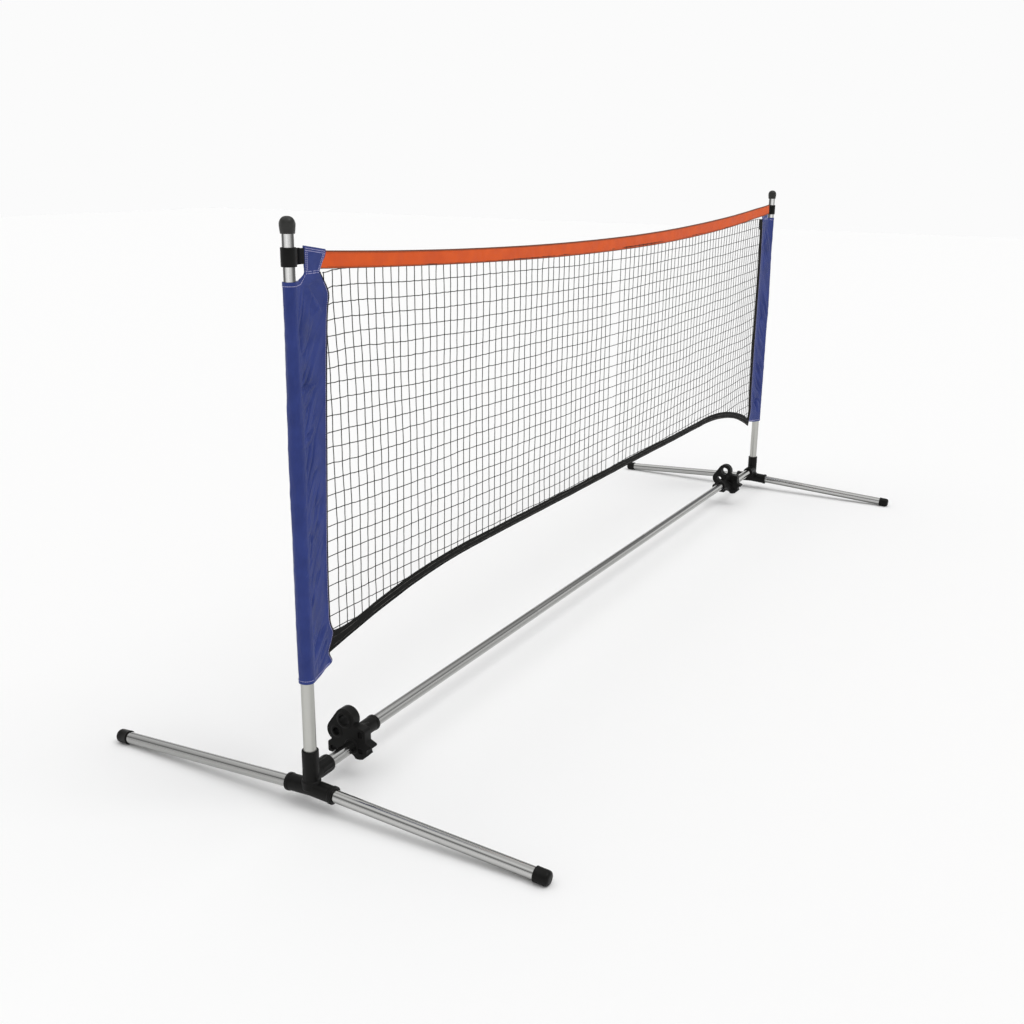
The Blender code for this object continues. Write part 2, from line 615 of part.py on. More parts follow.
def header():
    """The folded patch above the sleeve that clamps the end of the top band."""
    bottom = SLEEVE_TOP + GAP
    outline = [(HEADER_NEAR, bottom), (HEADER_NECK, bottom), (HEADER_NECK + 0.004, bottom + 0.022)]
    outline += [(HEADER_FAR, bottom + 0.030), (HEADER_FAR, HEADER_TOP - 0.004), (HEADER_NEAR, HEADER_TOP)]
    half = HEADER_THICK / 2
    patch = extruded(outline, -half, half, lambda a, b, depth: (a, depth, b))
    slot = BAND_THICK / 2 + GAP
    pocket = block((HEADER_NEAR + HEADER_FOLD, -slot, bottom - 0.01), (HEADER_FAR + 0.01, slot, HEADER_TOP + 0.01))
    return combined(patch, cuts=[pocket])


def top_edge(x):
    return TOP_BAND_MIDDLE + TOP_BAND_RISE * (x / NET_HALF) ** 2


def bottom_edge(x):
    beyond = max(0.0, abs(x) - BOTTOM_BAND_LEVEL) / (NET_HALF - BOTTOM_BAND_LEVEL)
    return BOTTOM_BAND_MIDDLE - BOTTOM_BAND_DROP["left" if x < 0 else "right"] * beyond**2


def net_stations():
    """Where the net's upright cords stand."""
    columns = round(2 * NET_HALF / NET_GAP)
    reach = NET_HALF - NET_CORD / 2
    return [-reach + 2 * reach * i / columns for i in range(columns + 1)]


def height_at(edge, x):
    """The height at x of an edge that runs straight from each upright cord to the next."""
    stations = net_stations()
    i = min(max(bisect.bisect(stations, x), 1), len(stations) - 1)
    left, right = stations[i - 1], stations[i]
    share = (x - left) / (right - left)
    return edge(left) * (1 - share) + edge(right) * share


def band(reach, edge, low, high):
    """A tape along the net between -reach and reach, from low to high above an edge."""
    half = BAND_THICK / 2
    rings = []
    for x in (-reach, *net_stations()[1:-1], reach):
        z = height_at(edge, x)
        rings.append([(x, -half, z + low), (x, half, z + low), (x, half, z + high), (x, -half, z + high)])
    return lofted(rings)


def top_band():
    reach = SPAN / 2 - HEADER_NEAR - HEADER_FOLD - GAP
    return band(reach, top_edge, -TOP_BAND_WIDTH, 0)


def bottom_band():
    return band(NET_HALF, bottom_edge, 0, BOTTOM_BAND_WIDTH)


def net():
    """The square mesh between the bands, as one sheet of crossing cords."""
    height = TOP_BAND_MIDDLE - TOP_BAND_WIDTH - BOTTOM_BAND_MIDDLE - BOTTOM_BAND_WIDTH
    rows = round(height / NET_GAP)
    shape = bmesh.new()
    grid = []
    for x in [middle + side * NET_CORD / 2 for middle in net_stations() for side in (-1, 1)]:
        low = height_at(bottom_edge, x) + BOTTOM_BAND_WIDTH + GAP
        high = height_at(top_edge, x) - TOP_BAND_WIDTH - GAP
        column = []
        for j in range(rows + 1):
            middle = low + NET_CORD / 2 + (high - low - NET_CORD) * j / rows
            for z in (middle - NET_CORD / 2, middle + NET_CORD / 2):
                column.append(shape.verts.new((x, -NET_CORD / 2, z)))
        grid.append(column)
    for i in range(len(grid) - 1):
        for j in range(len(grid[0]) - 1):
            if i % 2 and j % 2:
                continue
            shape.faces.new((grid[i][j], grid[i + 1][j], grid[i + 1][j + 1], grid[i][j + 1]))
    raised = bmesh.ops.extrude_face_region(shape, geom=list(shape.faces))["geom"]
    verts = [item for item in raised if isinstance(item, bmesh.types.BMVert)]
    bmesh.ops.translate(shape, vec=(0, NET_CORD, 0), verts=verts)
    return mesh_from(shape, "net")


def build_end(side, shared):
    frame = end_frame(side)
    place = BRACKET_PLACE[side]
    for which, turn in (("front", 0), ("rear", 180)):
        put(f"{side}_{which}_foot_tube", shared["foot_tube"], STEEL, frame, turn)
        put(f"{side}_{which}_foot_cap", shared["foot_cap"], BLACK_PLASTIC, frame, turn)
    put(f"{side}_base_tee", shared["base_tee"], BLACK_PLASTIC, frame)
    put(f"{side}_rail_tube", rail_tube(place), STEEL, frame)
    bracket = moved(shared["clip_bracket"], Matrix.Translation((place, 0, 0)))
    put(f"{side}_clip_bracket", bracket, BLACK_PLASTIC, frame)
    put(f"{side}_lower_post", shared["lower_post"], GREY_STEEL, frame)
    put(f"{side}_upper_post", shared["upper_post"], GREY_STEEL, frame)
    put(f"{side}_post_bush", shared["post_bush"], BLACK_PLASTIC, frame)
    put(f"{side}_lock_ring", shared["lock_ring"], BLACK_PLASTIC, frame)
    put(f"{side}_glide_bush", shared["glide_bush"], NATURAL_PLASTIC, frame)
    put(f"{side}_dome_cap", shared["dome_cap"], BLACK_PLASTIC, frame)
    put(f"{side}_net_collar", shared["net_collar"], BLACK_PLASTIC, frame)
    put(f"{side}_net_strap", shared["net_strap"], DARK_WEBBING, frame)
    put(f"{side}_sleeve", shared["sleeve"], BLUE_NYLON, frame)
    put(f"{side}_header", shared["header"], BLUE_NYLON, frame)


def build_bar():
    """The long bar in equal sections, joined end to end over hidden ferrules."""
    mouths = {side: BRACKET_PLACE[side] + PLATE_THICK + CRANK_LENGTH - BAR_SEAT + GAP for side in BRACKET_PLACE}
    start = -SPAN / 2 + mouths["left"]
    end = SPAN / 2 - mouths["right"]
    axis = Matrix.Translation((0, CRANK_OFFSET.y, RAIL_Z + CRANK_OFFSET.z)) @ ALONG_X
    length = (end - start - SEAM * (BAR_SECTIONS - 1)) / BAR_SECTIONS
    for i, name in enumerate(("left", "middle", "right")):
        low = start + i * (length + SEAM)
        put(f"{name}_bar_tube", moved(pipe(TUBE_R, TUBE_BORE, low, low + length), axis), STEEL)
    for i, name in enumerate(("left", "right")):
        middle = start + (i + 1) * (length + SEAM) - SEAM / 2
        low = middle - FERRULE_LENGTH / 2
        ferrule = pipe(TUBE_BORE - FIT, TUBE_BORE - FIT - TUBE_WALL, low, low + FERRULE_LENGTH)
        put(f"{name}_bar_ferrule", moved(ferrule, axis), STEEL)


def main():
    clear_scene()
    shared = {
        "foot_tube": foot_tube(),
        "foot_cap": foot_cap(),
        "base_tee": base_tee(),
        "clip_bracket": clip_bracket(),
        "lower_post": pipe(TUBE_R, TUBE_BORE, FOOT_AXIS_Z + POST_SEAT + GAP, LOWER_TOP),
        "upper_post": pipe(UPPER_R, UPPER_BORE, LOWER_TOP - POST_OVERLAP, POST_TOP),
        "post_bush": post_bush(),
        "lock_ring": lock_ring(),
        "glide_bush": glide_bush(),
        "dome_cap": dome_cap(),
        "net_collar": net_collar(),
        "net_strap": net_strap(),
        "sleeve": sleeve(),
        "header": header(),
    }
    for side in ("left", "right"):
        build_end(side, shared)
    build_bar()
    put("top_band", top_band(), ORANGE_TAPE)
    put("bottom_band", bottom_band(), BLACK_TAPE)
    put("net", net(), NET_CORD_BLACK)


main()
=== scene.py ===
"""The dressed multisport net: round tubes, moulded fittings, sewn sleeves, taped bands and a knotted net.

Metres, +Z up. X runs along the net, -Y is the front. Pieces of an end are made in that end's own frame, whose
origin is on the floor under the post and whose +X points at the middle of the net.
"""

import math

import bmesh
import bpy
from mathutils import Matrix, Vector, noise


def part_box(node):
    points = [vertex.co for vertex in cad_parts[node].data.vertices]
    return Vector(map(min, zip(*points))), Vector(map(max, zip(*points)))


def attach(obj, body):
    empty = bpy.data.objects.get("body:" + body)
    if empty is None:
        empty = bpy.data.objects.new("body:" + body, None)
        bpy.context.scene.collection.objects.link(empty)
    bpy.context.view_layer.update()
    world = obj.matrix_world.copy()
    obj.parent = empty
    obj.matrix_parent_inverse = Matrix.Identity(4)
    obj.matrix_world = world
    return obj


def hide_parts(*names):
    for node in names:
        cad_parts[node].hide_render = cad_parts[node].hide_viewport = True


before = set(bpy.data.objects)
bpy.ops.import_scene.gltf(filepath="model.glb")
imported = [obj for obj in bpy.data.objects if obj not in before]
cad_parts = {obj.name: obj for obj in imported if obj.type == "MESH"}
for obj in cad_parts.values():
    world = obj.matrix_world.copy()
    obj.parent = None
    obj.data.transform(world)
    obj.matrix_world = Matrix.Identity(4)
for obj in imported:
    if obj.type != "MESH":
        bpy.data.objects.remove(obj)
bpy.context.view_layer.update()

# Sizes that the solids have
HALF_SPAN = 2.05
TUBE_R = 0.019
TUBE_BORE = 0.0178
SOCKET_R = TUBE_R + 0.00035
UPPER_R = 0.0157
UPPER_BORE = 0.0145
FOOT_REACH = 0.792
FOOT_SLOPE = math.radians(3.0)
CAP_R = 0.022
CAP_LENGTH = 0.046
FOOT_AXIS_Z = 0.0208 + (FOOT_REACH - CAP_LENGTH / 2) * math.tan(FOOT_SLOPE)
RAIL_Z = FOOT_AXIS_Z + 0.042
BAR = Vector((0, 0.012, RAIL_Z + 0.0205))
TEE_TOP = FOOT_AXIS_Z + 0.122
BRACKET_PLACE = {"left": 0.196, "right": 0.390}
PLATE_THICK = 0.034
CRANK_LENGTH = 0.100
LOWER_TOP = 0.700
UPPER_BOTTOM = 0.580
POST_TOP = 1.672
DOME_BOTTOM = 1.644
SLEEVE_R = 0.0232
SLEEVE_BOTTOM = 0.400
SLEEVE_TOP = {"left": 1.523, "right": 1.543}
NET_HALF = HALF_SPAN - 0.138
TOP_BAND_MIDDLE = 1.537
TOP_BAND_RISE = {-1: 0.056, 1: 0.072}
TOP_BAND_WIDTH = 0.052
BOTTOM_BAND_MIDDLE = 0.542
BOTTOM_BAND_DROP = {-1: 0.085, 1: 0.150}
BOTTOM_BAND_LEVEL = 1.15
SIDES = {"left": -1, "right": 1}
WALL = 0.0014  # the sleeve's cloth
TAPE_THICK = 0.0026
BINDING = {"left": 0.0035, "right": 0.034}  # how far the net's end tape shows past the sleeve


# Meshes

def end_matrix(side):
    """From an end's own frame to the world. The right end is a mirror image."""
    sign = SIDES[side]
    return Matrix.Translation((sign * HALF_SPAN, 0, 0)) @ Matrix.Diagonal((-sign, 1, 1, 1))


def spaced(start, end, count):
    """Evenly spaced values from start to end, in so many steps."""
    return [start + (end - start) * i / count for i in range(count + 1)]


def clamped(value):
    return max(0.0, min(1.0, value))


def eased(value):
    """Goes smoothly from 0 to 1 as the value does."""
    share = clamped(value)
    return share * share * (3 - 2 * share)


def ripple(a, b, c):
    return noise.noise(Vector((a, b, c)))


def mesh_of(points, faces, uvs=None):
    mesh = bpy.data.meshes.new("piece")
    mesh.from_pydata([tuple(point) for point in points], [], faces)
    if uvs is not None:
        layer = mesh.uv_layers.new(name="UVMap")
        for loop in mesh.loops:
            layer.data[loop.index].uv = uvs[loop.vertex_index]
    return mesh


def edited(mesh, edit):
    """The mesh after an edit of it as a bmesh."""
    shape = bmesh.new()
    shape.from_mesh(mesh)
    edit(shape)
    shape.to_mesh(mesh)
    shape.free()
    return mesh


def taken(shape):
    """The mesh of a bmesh, which is freed."""
    mesh = bpy.data.meshes.new("piece")
    shape.to_mesh(mesh)
    shape.free()
    return mesh


def face_outward(shape):
    bmesh.ops.recalc_face_normals(shape, faces=shape.faces)


def outward(mesh):
    return edited(mesh, face_outward)


def placed(mesh, matrix):
    copy = mesh.copy()
    copy.transform(matrix)
    if matrix.determinant() < 0:
        copy.flip_normals()
    return copy


def piece(name, mesh, material, body, nodes=(), sharp=35):
    obj = bpy.data.objects.new(name, mesh)
    mesh.name = name
    bpy.context.scene.collection.objects.link(obj)
    mesh.materials.clear()
    for item in material if isinstance(material, (list, tuple)) else [material]:
        mesh.materials.append(item)
    mesh.shade_smooth()
    mesh.set_sharp_from_angle(angle=math.radians(sharp))
    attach(obj, body)
    if nodes:
        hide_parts(*nodes)
    return obj


def rings_mesh(rings, closed_round=True, loop=False, uvs=None, caps=False):
    """A skin over rings of as many points each."""
    count = len(rings[0])
    points = [point for ring in rings for point in ring]
    faces = []
    pairs = len(rings) if loop else len(rings) - 1
    for i in range(pairs):
        after = (i + 1) % len(rings)
        for j in range(count if closed_round else count - 1):
            k = (j + 1) % count
            faces.append((i * count + j, i * count + k, after * count + k, after * count + j))
    if caps:
        faces.append(tuple(range(count))[::-1])
        faces.append(tuple(range((len(rings) - 1) * count, len(rings) * count)))
    return mesh_of(points, faces, uvs)


def turned(profile, start, along, steps=56):
    """A solid turned about the line from start along a direction. The profile is (radius, height) points."""
    axis = Vector(along).normalized()
    across = axis.orthogonal().normalized()
    other = axis.cross(across)
    rings, uvs = [], []
    run = 0.0
    for i, (radius, height) in enumerate(profile):
        if i:
            run += math.dist(profile[i - 1], profile[i])
        ring = []
        for j in range(steps + 1):
            turn = math.tau * j / steps
            out = across * math.cos(turn) + other * math.sin(turn)
            ring.append(Vector(start) + axis * height + out * radius)
            uvs.append((turn * TUBE_R, run))
        rings.append(ring)

    def close(shape):
        bmesh.ops.remove_doubles(shape, verts=shape.verts, dist=1e-6)
        bmesh.ops.dissolve_degenerate(shape, edges=shape.edges, dist=1e-7)
        face_outward(shape)

    return edited(rings_mesh(rings, closed_round=False, loop=True, uvs=uvs), close)


def pipe_profile(outer, inner, low, high, edge=0.0003):
    return [(outer - edge, low), (outer, low + edge), (outer, high - edge), (outer - edge, high),
            (inner + edge, high), (inner, high - edge), (inner, low + edge), (inner + edge, low)]


def circle(radius, height, steps):
    turns = [math.tau * k / steps for k in range(steps)]
    return [Vector((radius * math.cos(t), radius * math.sin(t), height)) for t in turns]


def block(low, high):
    shape = bmesh.new()
    bmesh.ops.create_cube(shape, size=1)
    size = Vector(high) - Vector(low)
    middle = (Vector(low) + Vector(high)) / 2
    matrix = Matrix.Translation(middle) @ Matrix.Diagonal(size).to_4x4()
    bmesh.ops.transform(shape, matrix=matrix, verts=shape.verts)
    return taken(shape)


def extruded(outline, low, high, place):
    """A flat outline raised from low to high. place turns (across, up, depth) into a point."""
    shape = bmesh.new()
    face = shape.faces.new([shape.verts.new(place(a, b, low)) for a, b in outline])
    raised = bmesh.ops.extrude_face_region(shape, geom=[face])["geom"]
    shift = Vector(place(0, 0, high)) - Vector(place(0, 0, low))
    verts = [item for item in raised if isinstance(item, bmesh.types.BMVert)]
    bmesh.ops.translate(shape, vec=shift, verts=verts)
    face_outward(shape)
    return taken(shape)


def arc(centre, radius, start, end, count):
    turns = [math.radians(start + (end - start) * i / (count - 1)) for i in range(count)]
    return [(centre[0] + radius * math.cos(turn), centre[1] + radius * math.sin(turn)) for turn in turns]


def carved(base, joins=(), cuts=(), modifiers=()):
    """The mesh of base with others joined and taken away, and then these modifiers."""
    scene = bpy.context.scene.collection
    body = bpy.data.objects.new("body", base)
    helpers = [body]
    scene.objects.link(body)
    for operation, meshes in (("UNION", joins), ("DIFFERENCE", cuts)):
        for mesh in meshes:
            helper = bpy.data.objects.new("helper", mesh)
            scene.objects.link(helper)
            helpers.append(helper)
            boolean = body.modifiers.new(operation.title(), "BOOLEAN")
            boolean.operation = operation
            boolean.object = helper
    for kind, settings in modifiers:
        modifier = body.modifiers.new(kind.title(), kind)
        for key, value in settings.items():
            setattr(modifier, key, value)
    bpy.context.view_layer.update()
    result = bpy.data.meshes.new_from_object(body.evaluated_get(bpy.context.evaluated_depsgraph_get()))
    for helper in helpers:
        bpy.data.objects.remove(helper)
    return result


def moulded(base, joins, cuts, voxel):
    """A moulding: the joined shapes melted together with small fillets, then bored out."""
    soft = [("REMESH", {"mode": "VOXEL", "voxel_size": voxel, "use_smooth_shade": True}),
            ("SMOOTH", {"factor": 0.5, "iterations": 5}),
            ("DECIMATE", {"ratio": 0.45})]
    return carved(carved(base, joins, modifiers=soft), cuts=cuts)


# Materials

def material(name, colour, roughness, metallic=0.0, **extra):
    made = bpy.data.materials.new(name)
    made.use_nodes = True
    shader = made.node_tree.nodes["Principled BSDF"]
    shader.inputs["Base Color"].default_value = (*colour, 1)
    shader.inputs["Roughness"].default_value = roughness
    shader.inputs["Metallic"].default_value = metallic
    for key, value in extra.items():
        shader.inputs[key.replace("_", " ")].default_value = value
    return made, made.node_tree, shader


def added(tree, kind, inputs, **settings):
    """The outputs of a new shader node. An input is a value, or another node's output to link to."""
    made = tree.nodes.new("ShaderNode" + kind)
    for key, value in settings.items():
        setattr(made, key, value)
    for key, value in inputs.items():
        if isinstance(value, bpy.types.NodeSocket):
            tree.links.new(value, made.inputs[key])
        else:
            made.inputs[key].default_value = value
    return made.outputs


def coordinates(tree, kind):
    return added(tree, "TexCoord", {})[kind]


def scaled_uv(tree, across, along):
    return added(tree, "Mapping", {"Scale": (across, along, 1), "Vector": coordinates(tree, "UV")})["Vector"]


def noise_at(tree, vector, scale, detail):
    return added(tree, "TexNoise", {"Scale": scale, "Detail": detail, "Vector": vector})["Fac"]


def wave_at(tree, vector, direction, scale=1.0, phase=0.0):
    inputs = {"Scale": scale, "Phase Offset": phase, "Vector": vector}
    return added(tree, "TexWave", inputs, bands_direction=direction)["Fac"]


def spread(tree, value, low, high, least=0.3, most=0.7):
    """A value between least and most brought to the range from low to high."""
    limits = {"From Min": least, "From Max": most, "To Min": low, "To Max": high}
    return added(tree, "MapRange", {"Value": value, **limits})["Result"]


def tinted(tree, shader, first, second, share):
    """Give a shader a mix of two colours. The first may be another node's output."""
    if not isinstance(first, bpy.types.NodeSocket):
        first = (*first, 1)
    mixed = added(tree, "Mix", {"Factor": share, "A": first, "B": (*second, 1)}, data_type="RGBA")
    tree.links.new(mixed["Result"], shader.inputs["Base Color"])


def bumped(tree, shader, height, strength, distance):
    bump = added(tree, "Bump", {"Strength": strength, "Distance": distance, "Height": height})
    tree.links.new(bump["Normal"], shader.inputs["Normal"])


def summed(tree, first, second, weight):
    """first + second * weight"""
    return added(tree, "Math", {0: second, 1: weight, 2: first}, operation="MULTIPLY_ADD")[0]


def drawn_steel(name, light, dark, roughness, bands=55, streaks=0.0):
    """Drawn tube: fine grain lines, and painted reflections as broad lengthwise bands and three streaks round
    it.
    """
    made, tree, shader = material(name, light, roughness, 1.0)
    lines = noise_at(tree, scaled_uv(tree, 1600, 1.2), 1.0, 3)
    # painted reflection: broad light and dark bands along the tube, mixed with the fine grain lines
    grain_and_painted_reflection = summed(tree, noise_at(tree, scaled_uv(tree, bands, 0.25), 1.0, 1), lines, 0.15)
    if streaks:
        # painted reflection: three light and dark streaks round the tube, their phase putting the dark ones
        # at the post's edges
        round_tube = scaled_uv(tree, 3 * 0.31416 / (math.tau * TUBE_R), 0.0)
        grain_and_painted_reflection = summed(tree, grain_and_painted_reflection, wave_at(tree, round_tube, "X", phase=0.6), streaks)
    share = spread(tree, grain_and_painted_reflection, -0.05, 0.8, 0.3 + 0.5 * streaks, 0.7 + 0.8 * streaks)
    tinted(tree, shader, dark, light, share)
    tree.links.new(spread(tree, lines, roughness - 0.05, roughness + 0.06), shader.inputs["Roughness"])
    bumped(tree, shader, lines, 0.25, 0.00005)
    return made


def black_moulding(name, colour=0.0045, roughness=0.42, gloss=0.13):
    """Moulded plastic with a fine grain and faint marks of handling."""
    dark = (colour, colour, colour * 0.92)
    made, tree, shader = material(name, dark, roughness, 0.0, Specular_IOR_Level=gloss)
    place = coordinates(tree, "Object")
    grain, marks = noise_at(tree, place, 1400, 2), noise_at(tree, place, 40, 4)
    tree.links.new(spread(tree, marks, roughness - 0.07, roughness + 0.10), shader.inputs["Roughness"])
    tinted(tree, shader, dark, (colour * 1.9, colour * 1.9, colour * 1.8), spread(tree, marks, 0.0, 0.6))
    bumped(tree, shader, grain, 0.18, 0.0002)
    return made


def weave_height(tree, pitch):
    """Crossing threads, in metres of the cloth's own coordinates."""
    threads = scaled_uv(tree, 0.31 / pitch, 0.31 / pitch)
    waves = {i: wave_at(tree, threads, direction) for i, direction in enumerate("XY")}
    return added(tree, "Math", waves, operation="MULTIPLY")[0]


def woven(name, colour, shade, pitch, roughness, sheen=0.0, crumple=0.0, gloss=0.18):
    made, tree, shader = material(name, colour, roughness, 0.0, Sheen_Weight=sheen, Specular_IOR_Level=gloss)
    coords = scaled_uv(tree, 1, 1)
    clouds, fine = noise_at(tree, coords, 14, 4), noise_at(tree, coords, 260, 3)
    tinted(tree, shader, shade, colour, spread(tree, summed(tree, clouds, fine, 0.12), 0.1, 1.0))
    tree.links.new(spread(tree, clouds, roughness - 0.06, roughness + 0.08), shader.inputs["Roughness"])
    height = summed(tree, weave_height(tree, pitch), fine, 0.5)
    if crumple:
        height = summed(tree, height, noise_at(tree, scaled_uv(tree, 30, 8), 1.0, 3), crumple)
    bumped(tree, shader, height, 0.35, pitch * 0.5)
    return made


def edged_tape(name, colour, shade, edge, width, pitch):
    """A folded tape, its two edges overlocked in another colour. The second coordinate runs across it."""
    made = woven(name, colour, shade, pitch, 0.62, 0.05, crumple=1.6)
    tree = made.node_tree
    shader = tree.nodes["Principled BSDF"]
    across = added(tree, "SeparateXYZ", {"Vector": coordinates(tree, "UV")})["Y"]
    off = added(tree, "Math", {0: across, 1: width / 2}, operation="SUBTRACT")[0]
    away = added(tree, "Math", {0: off}, operation="ABSOLUTE")[0]
    border = spread(tree, away, 0.0, 1.0, width / 2 - 0.0042, width / 2 - 0.0022)
    tinted(tree, shader, shader.inputs["Base Color"].links[0].from_socket, edge, border)
    return made


def twisted_cord(name, colour):
    made, tree, shader = material(name, colour, 0.75, 0.0, Specular_IOR_Level=0.2)
    twist = wave_at(tree, coordinates(tree, "Object"), "DIAGONAL", 160)
    tinted(tree, shader, colour, tuple(value * 1.8 for value in colour), spread(tree, twist, 0.0, 1.0))
    bumped(tree, shader, twist, 0.3, 0.0003)
    return made


# Light and dark are the two ends of painted reflections: painted bands along these tubes, and painted streaks
# round the upper post
STEEL = drawn_steel("drawn_steel", (0.64, 0.64, 0.63), (0.16, 0.16, 0.152), 0.13)
POST_STEEL = drawn_steel("grey_post_steel", (0.56, 0.56, 0.53), (0.36, 0.36, 0.34), 0.36, 30)
BRIGHT_POST = drawn_steel("bright_post_steel", (0.95, 0.95, 0.94), (0.10, 0.10, 0.098), 0.20, 75, 0.8)
PLASTIC = black_moulding("black_moulding")
DOME_PLASTIC = black_moulding("dome_moulding", 0.018, 0.36, 0.28)
NATURAL = black_moulding("natural_moulding", 0.42, 0.5)
NYLON = woven("blue_nylon", (0.031, 0.050, 0.216), (0.020, 0.034, 0.155), 0.0016, 0.40, gloss=0.16)
WEBBING = woven("dark_webbing", (0.006, 0.006, 0.007), (0.003, 0.003, 0.004), 0.0022, 0.8)
ORANGE = edged_tape("orange_tape", (0.73, 0.100, 0.009), (0.60, 0.068, 0.005), (0.14, 0.040, 0.015),
                    TOP_BAND_WIDTH, 0.0018)
BLACK_TAPE = woven("black_tape", (0.006, 0.006, 0.0055), (0.0035, 0.0035, 0.003), 0.0018, 0.8, crumple=1.0)
CORD = twisted_cord("net_cord", (0.020, 0.020, 0.018))
THREAD = woven("pale_thread", (0.52, 0.50, 0.74), (0.40, 0.38, 0.62), 0.0009, 0.7, 0.05)
DARK_THREAD = woven("dark_thread", (0.24, 0.060, 0.02), (0.15, 0.04, 0.015), 0.0009, 0.7, 0.05)
GREY_THREAD = woven("grey_thread", (0.19, 0.18, 0.165), (0.11, 0.11, 0.10), 0.0009, 0.7, 0.05)

# Of the solids, only those inside stay: bushes, lock rings and ferrules. Finer pieces replace the others.
for name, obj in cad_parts.items():
    finish = NATURAL if name.endswith("glide_bush") else STEEL if name.endswith("ferrule") else PLASTIC
    obj.data.materials.clear()
    obj.data.materials.append(finish)


# Tubes and turned fittings

def foot_line(sign, reach):
    """A point on a foot's axis. sign is -1 for the front foot."""
    return Vector((0, sign * reach * math.cos(FOOT_SLOPE), FOOT_AXIS_Z - reach * math.sin(FOOT_SLOPE)))


def build_foot(side, which, sign):
    place = end_matrix(side)
    start = place @ foot_line(sign, 0)
    along = place @ foot_line(sign, 1) - start
    tube = turned(pipe_profile(TUBE_R, TUBE_BORE, 0.0183, FOOT_REACH - 0.0063), start, along)
    piece(f"{side}_{which}_foot_tube_round", tube, STEEL, "base", [f"{side}_{which}_foot_tube"])
    mouth, floor = FOOT_REACH - CAP_LENGTH, FOOT_REACH - 0.006
    bore, lip, corner, rise = TUBE_R + 0.0004, CAP_R + 0.0006, 0.011, 0.0105
    profile = [(bore, floor), (bore, mouth + 0.0006), (TUBE_R + 0.001, mouth), (CAP_R - 0.0008, mouth),
               (lip, mouth + 0.0012), (lip, mouth + 0.0042), (CAP_R, mouth + 0.0052),
               (CAP_R, FOOT_REACH - 0.012)]
    for turn in (0.25, 0.5, 0.75, 0.92):
        angle = turn * math.pi / 2
        profile.append((CAP_R - corner + corner * math.cos(angle),
                        FOOT_REACH - rise + rise * math.sin(angle)))
    profile += [(0.0001, FOOT_REACH), (0.0001, floor)]
    cap = turned(profile, start, along)
    for vertex in cap.vertices:
        vertex.co.z = max(vertex.co.z, 0.0)  # the flat sole
    piece(f"{side}_{which}_foot_cap_moulded", cap, PLASTIC, "base", [f"{side}_{which}_foot_cap"])


def build_tubes(side):
    place = end_matrix(side)
    up = Vector((0, 0, 1))
    foot = place @ Vector((0, 0, 0))
    inward = place @ Vector((1, 0, 0)) - foot
    for which, sign in (("front", -1), ("rear", 1)):
        build_foot(side, which, sign)
    lower = turned(pipe_profile(TUBE_R, TUBE_BORE, FOOT_AXIS_Z + 0.0403, LOWER_TOP), foot, up)
    piece(f"{side}_lower_post_round", lower, POST_STEEL, "base", [f"{side}_lower_post"])
    upper = turned(pipe_profile(UPPER_R, UPPER_BORE, UPPER_BOTTOM, POST_TOP), foot, up)
    piece(f"{side}_upper_post_round", upper, BRIGHT_POST, f"{side}_mast", [f"{side}_upper_post"])
    rail_low, rail_high = 0.0343, BRACKET_PLACE[side] + 0.0277
    rail = turned(pipe_profile(TUBE_R, TUBE_BORE, rail_low, rail_high), foot + up * RAIL_Z, inward)
    piece(f"{side}_rail_round", rail, STEEL, "base", [f"{side}_rail_tube"])
    bore, seat, widest, shoulder = UPPER_R + 0.0004, POST_TOP + 0.0004, 0.0213, DOME_BOTTOM + 0.0225
    profile = [(bore, seat), (bore, DOME_BOTTOM), (0.0186, DOME_BOTTOM), (0.0192, DOME_BOTTOM + 0.0008),
               (0.0203, DOME_BOTTOM + 0.010), (0.0211, DOME_BOTTOM + 0.018), (widest, shoulder)]
    for i in range(1, 12):
        angle = math.pi / 2 * i / 11
        profile.append((max(0.0001, widest * math.cos(angle) ** 0.82), shoulder + 0.0215 * math.sin(angle)))
    profile += [(0.0001, seat)]
    dome = turned(profile, foot, up)
    piece(f"{side}_dome_round", dome, DOME_PLASTIC, f"{side}_mast", [f"{side}_dome_cap"])


def build_bar():
    for name in ("left", "middle", "right"):
        low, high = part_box(f"{name}_bar_tube")
        tube = turned(pipe_profile(TUBE_R, TUBE_BORE, 0, high.x - low.x), (low.x, BAR.y, BAR.z), (1, 0, 0))
        piece(f"{name}_bar_round", tube, STEEL, "base", [f"{name}_bar_tube"])


# Mouldings

def barrel(radius, low, high, matrix, steps=48):
    """A round bar with broken edges."""
    chamfer = 0.0008
    levels = ((radius - chamfer, low), (radius, low + chamfer),
              (radius, high - chamfer), (radius - chamfer, high))
    rings = [circle(size, height, steps) for size, height in levels]
    return outward(placed(rings_mesh(rings, caps=True), matrix))


ALONG_X = Matrix.Rotation(math.pi / 2, 4, "Y")
RAIL_MATRIX = Matrix.Translation((0, 0, RAIL_Z)) @ ALONG_X


def foot_matrix(sign):
    turn = Matrix.Rotation(-sign * (math.pi / 2 + FOOT_SLOPE), 4, "X")
    return Matrix.Translation((0, 0, FOOT_AXIS_Z)) @ turn


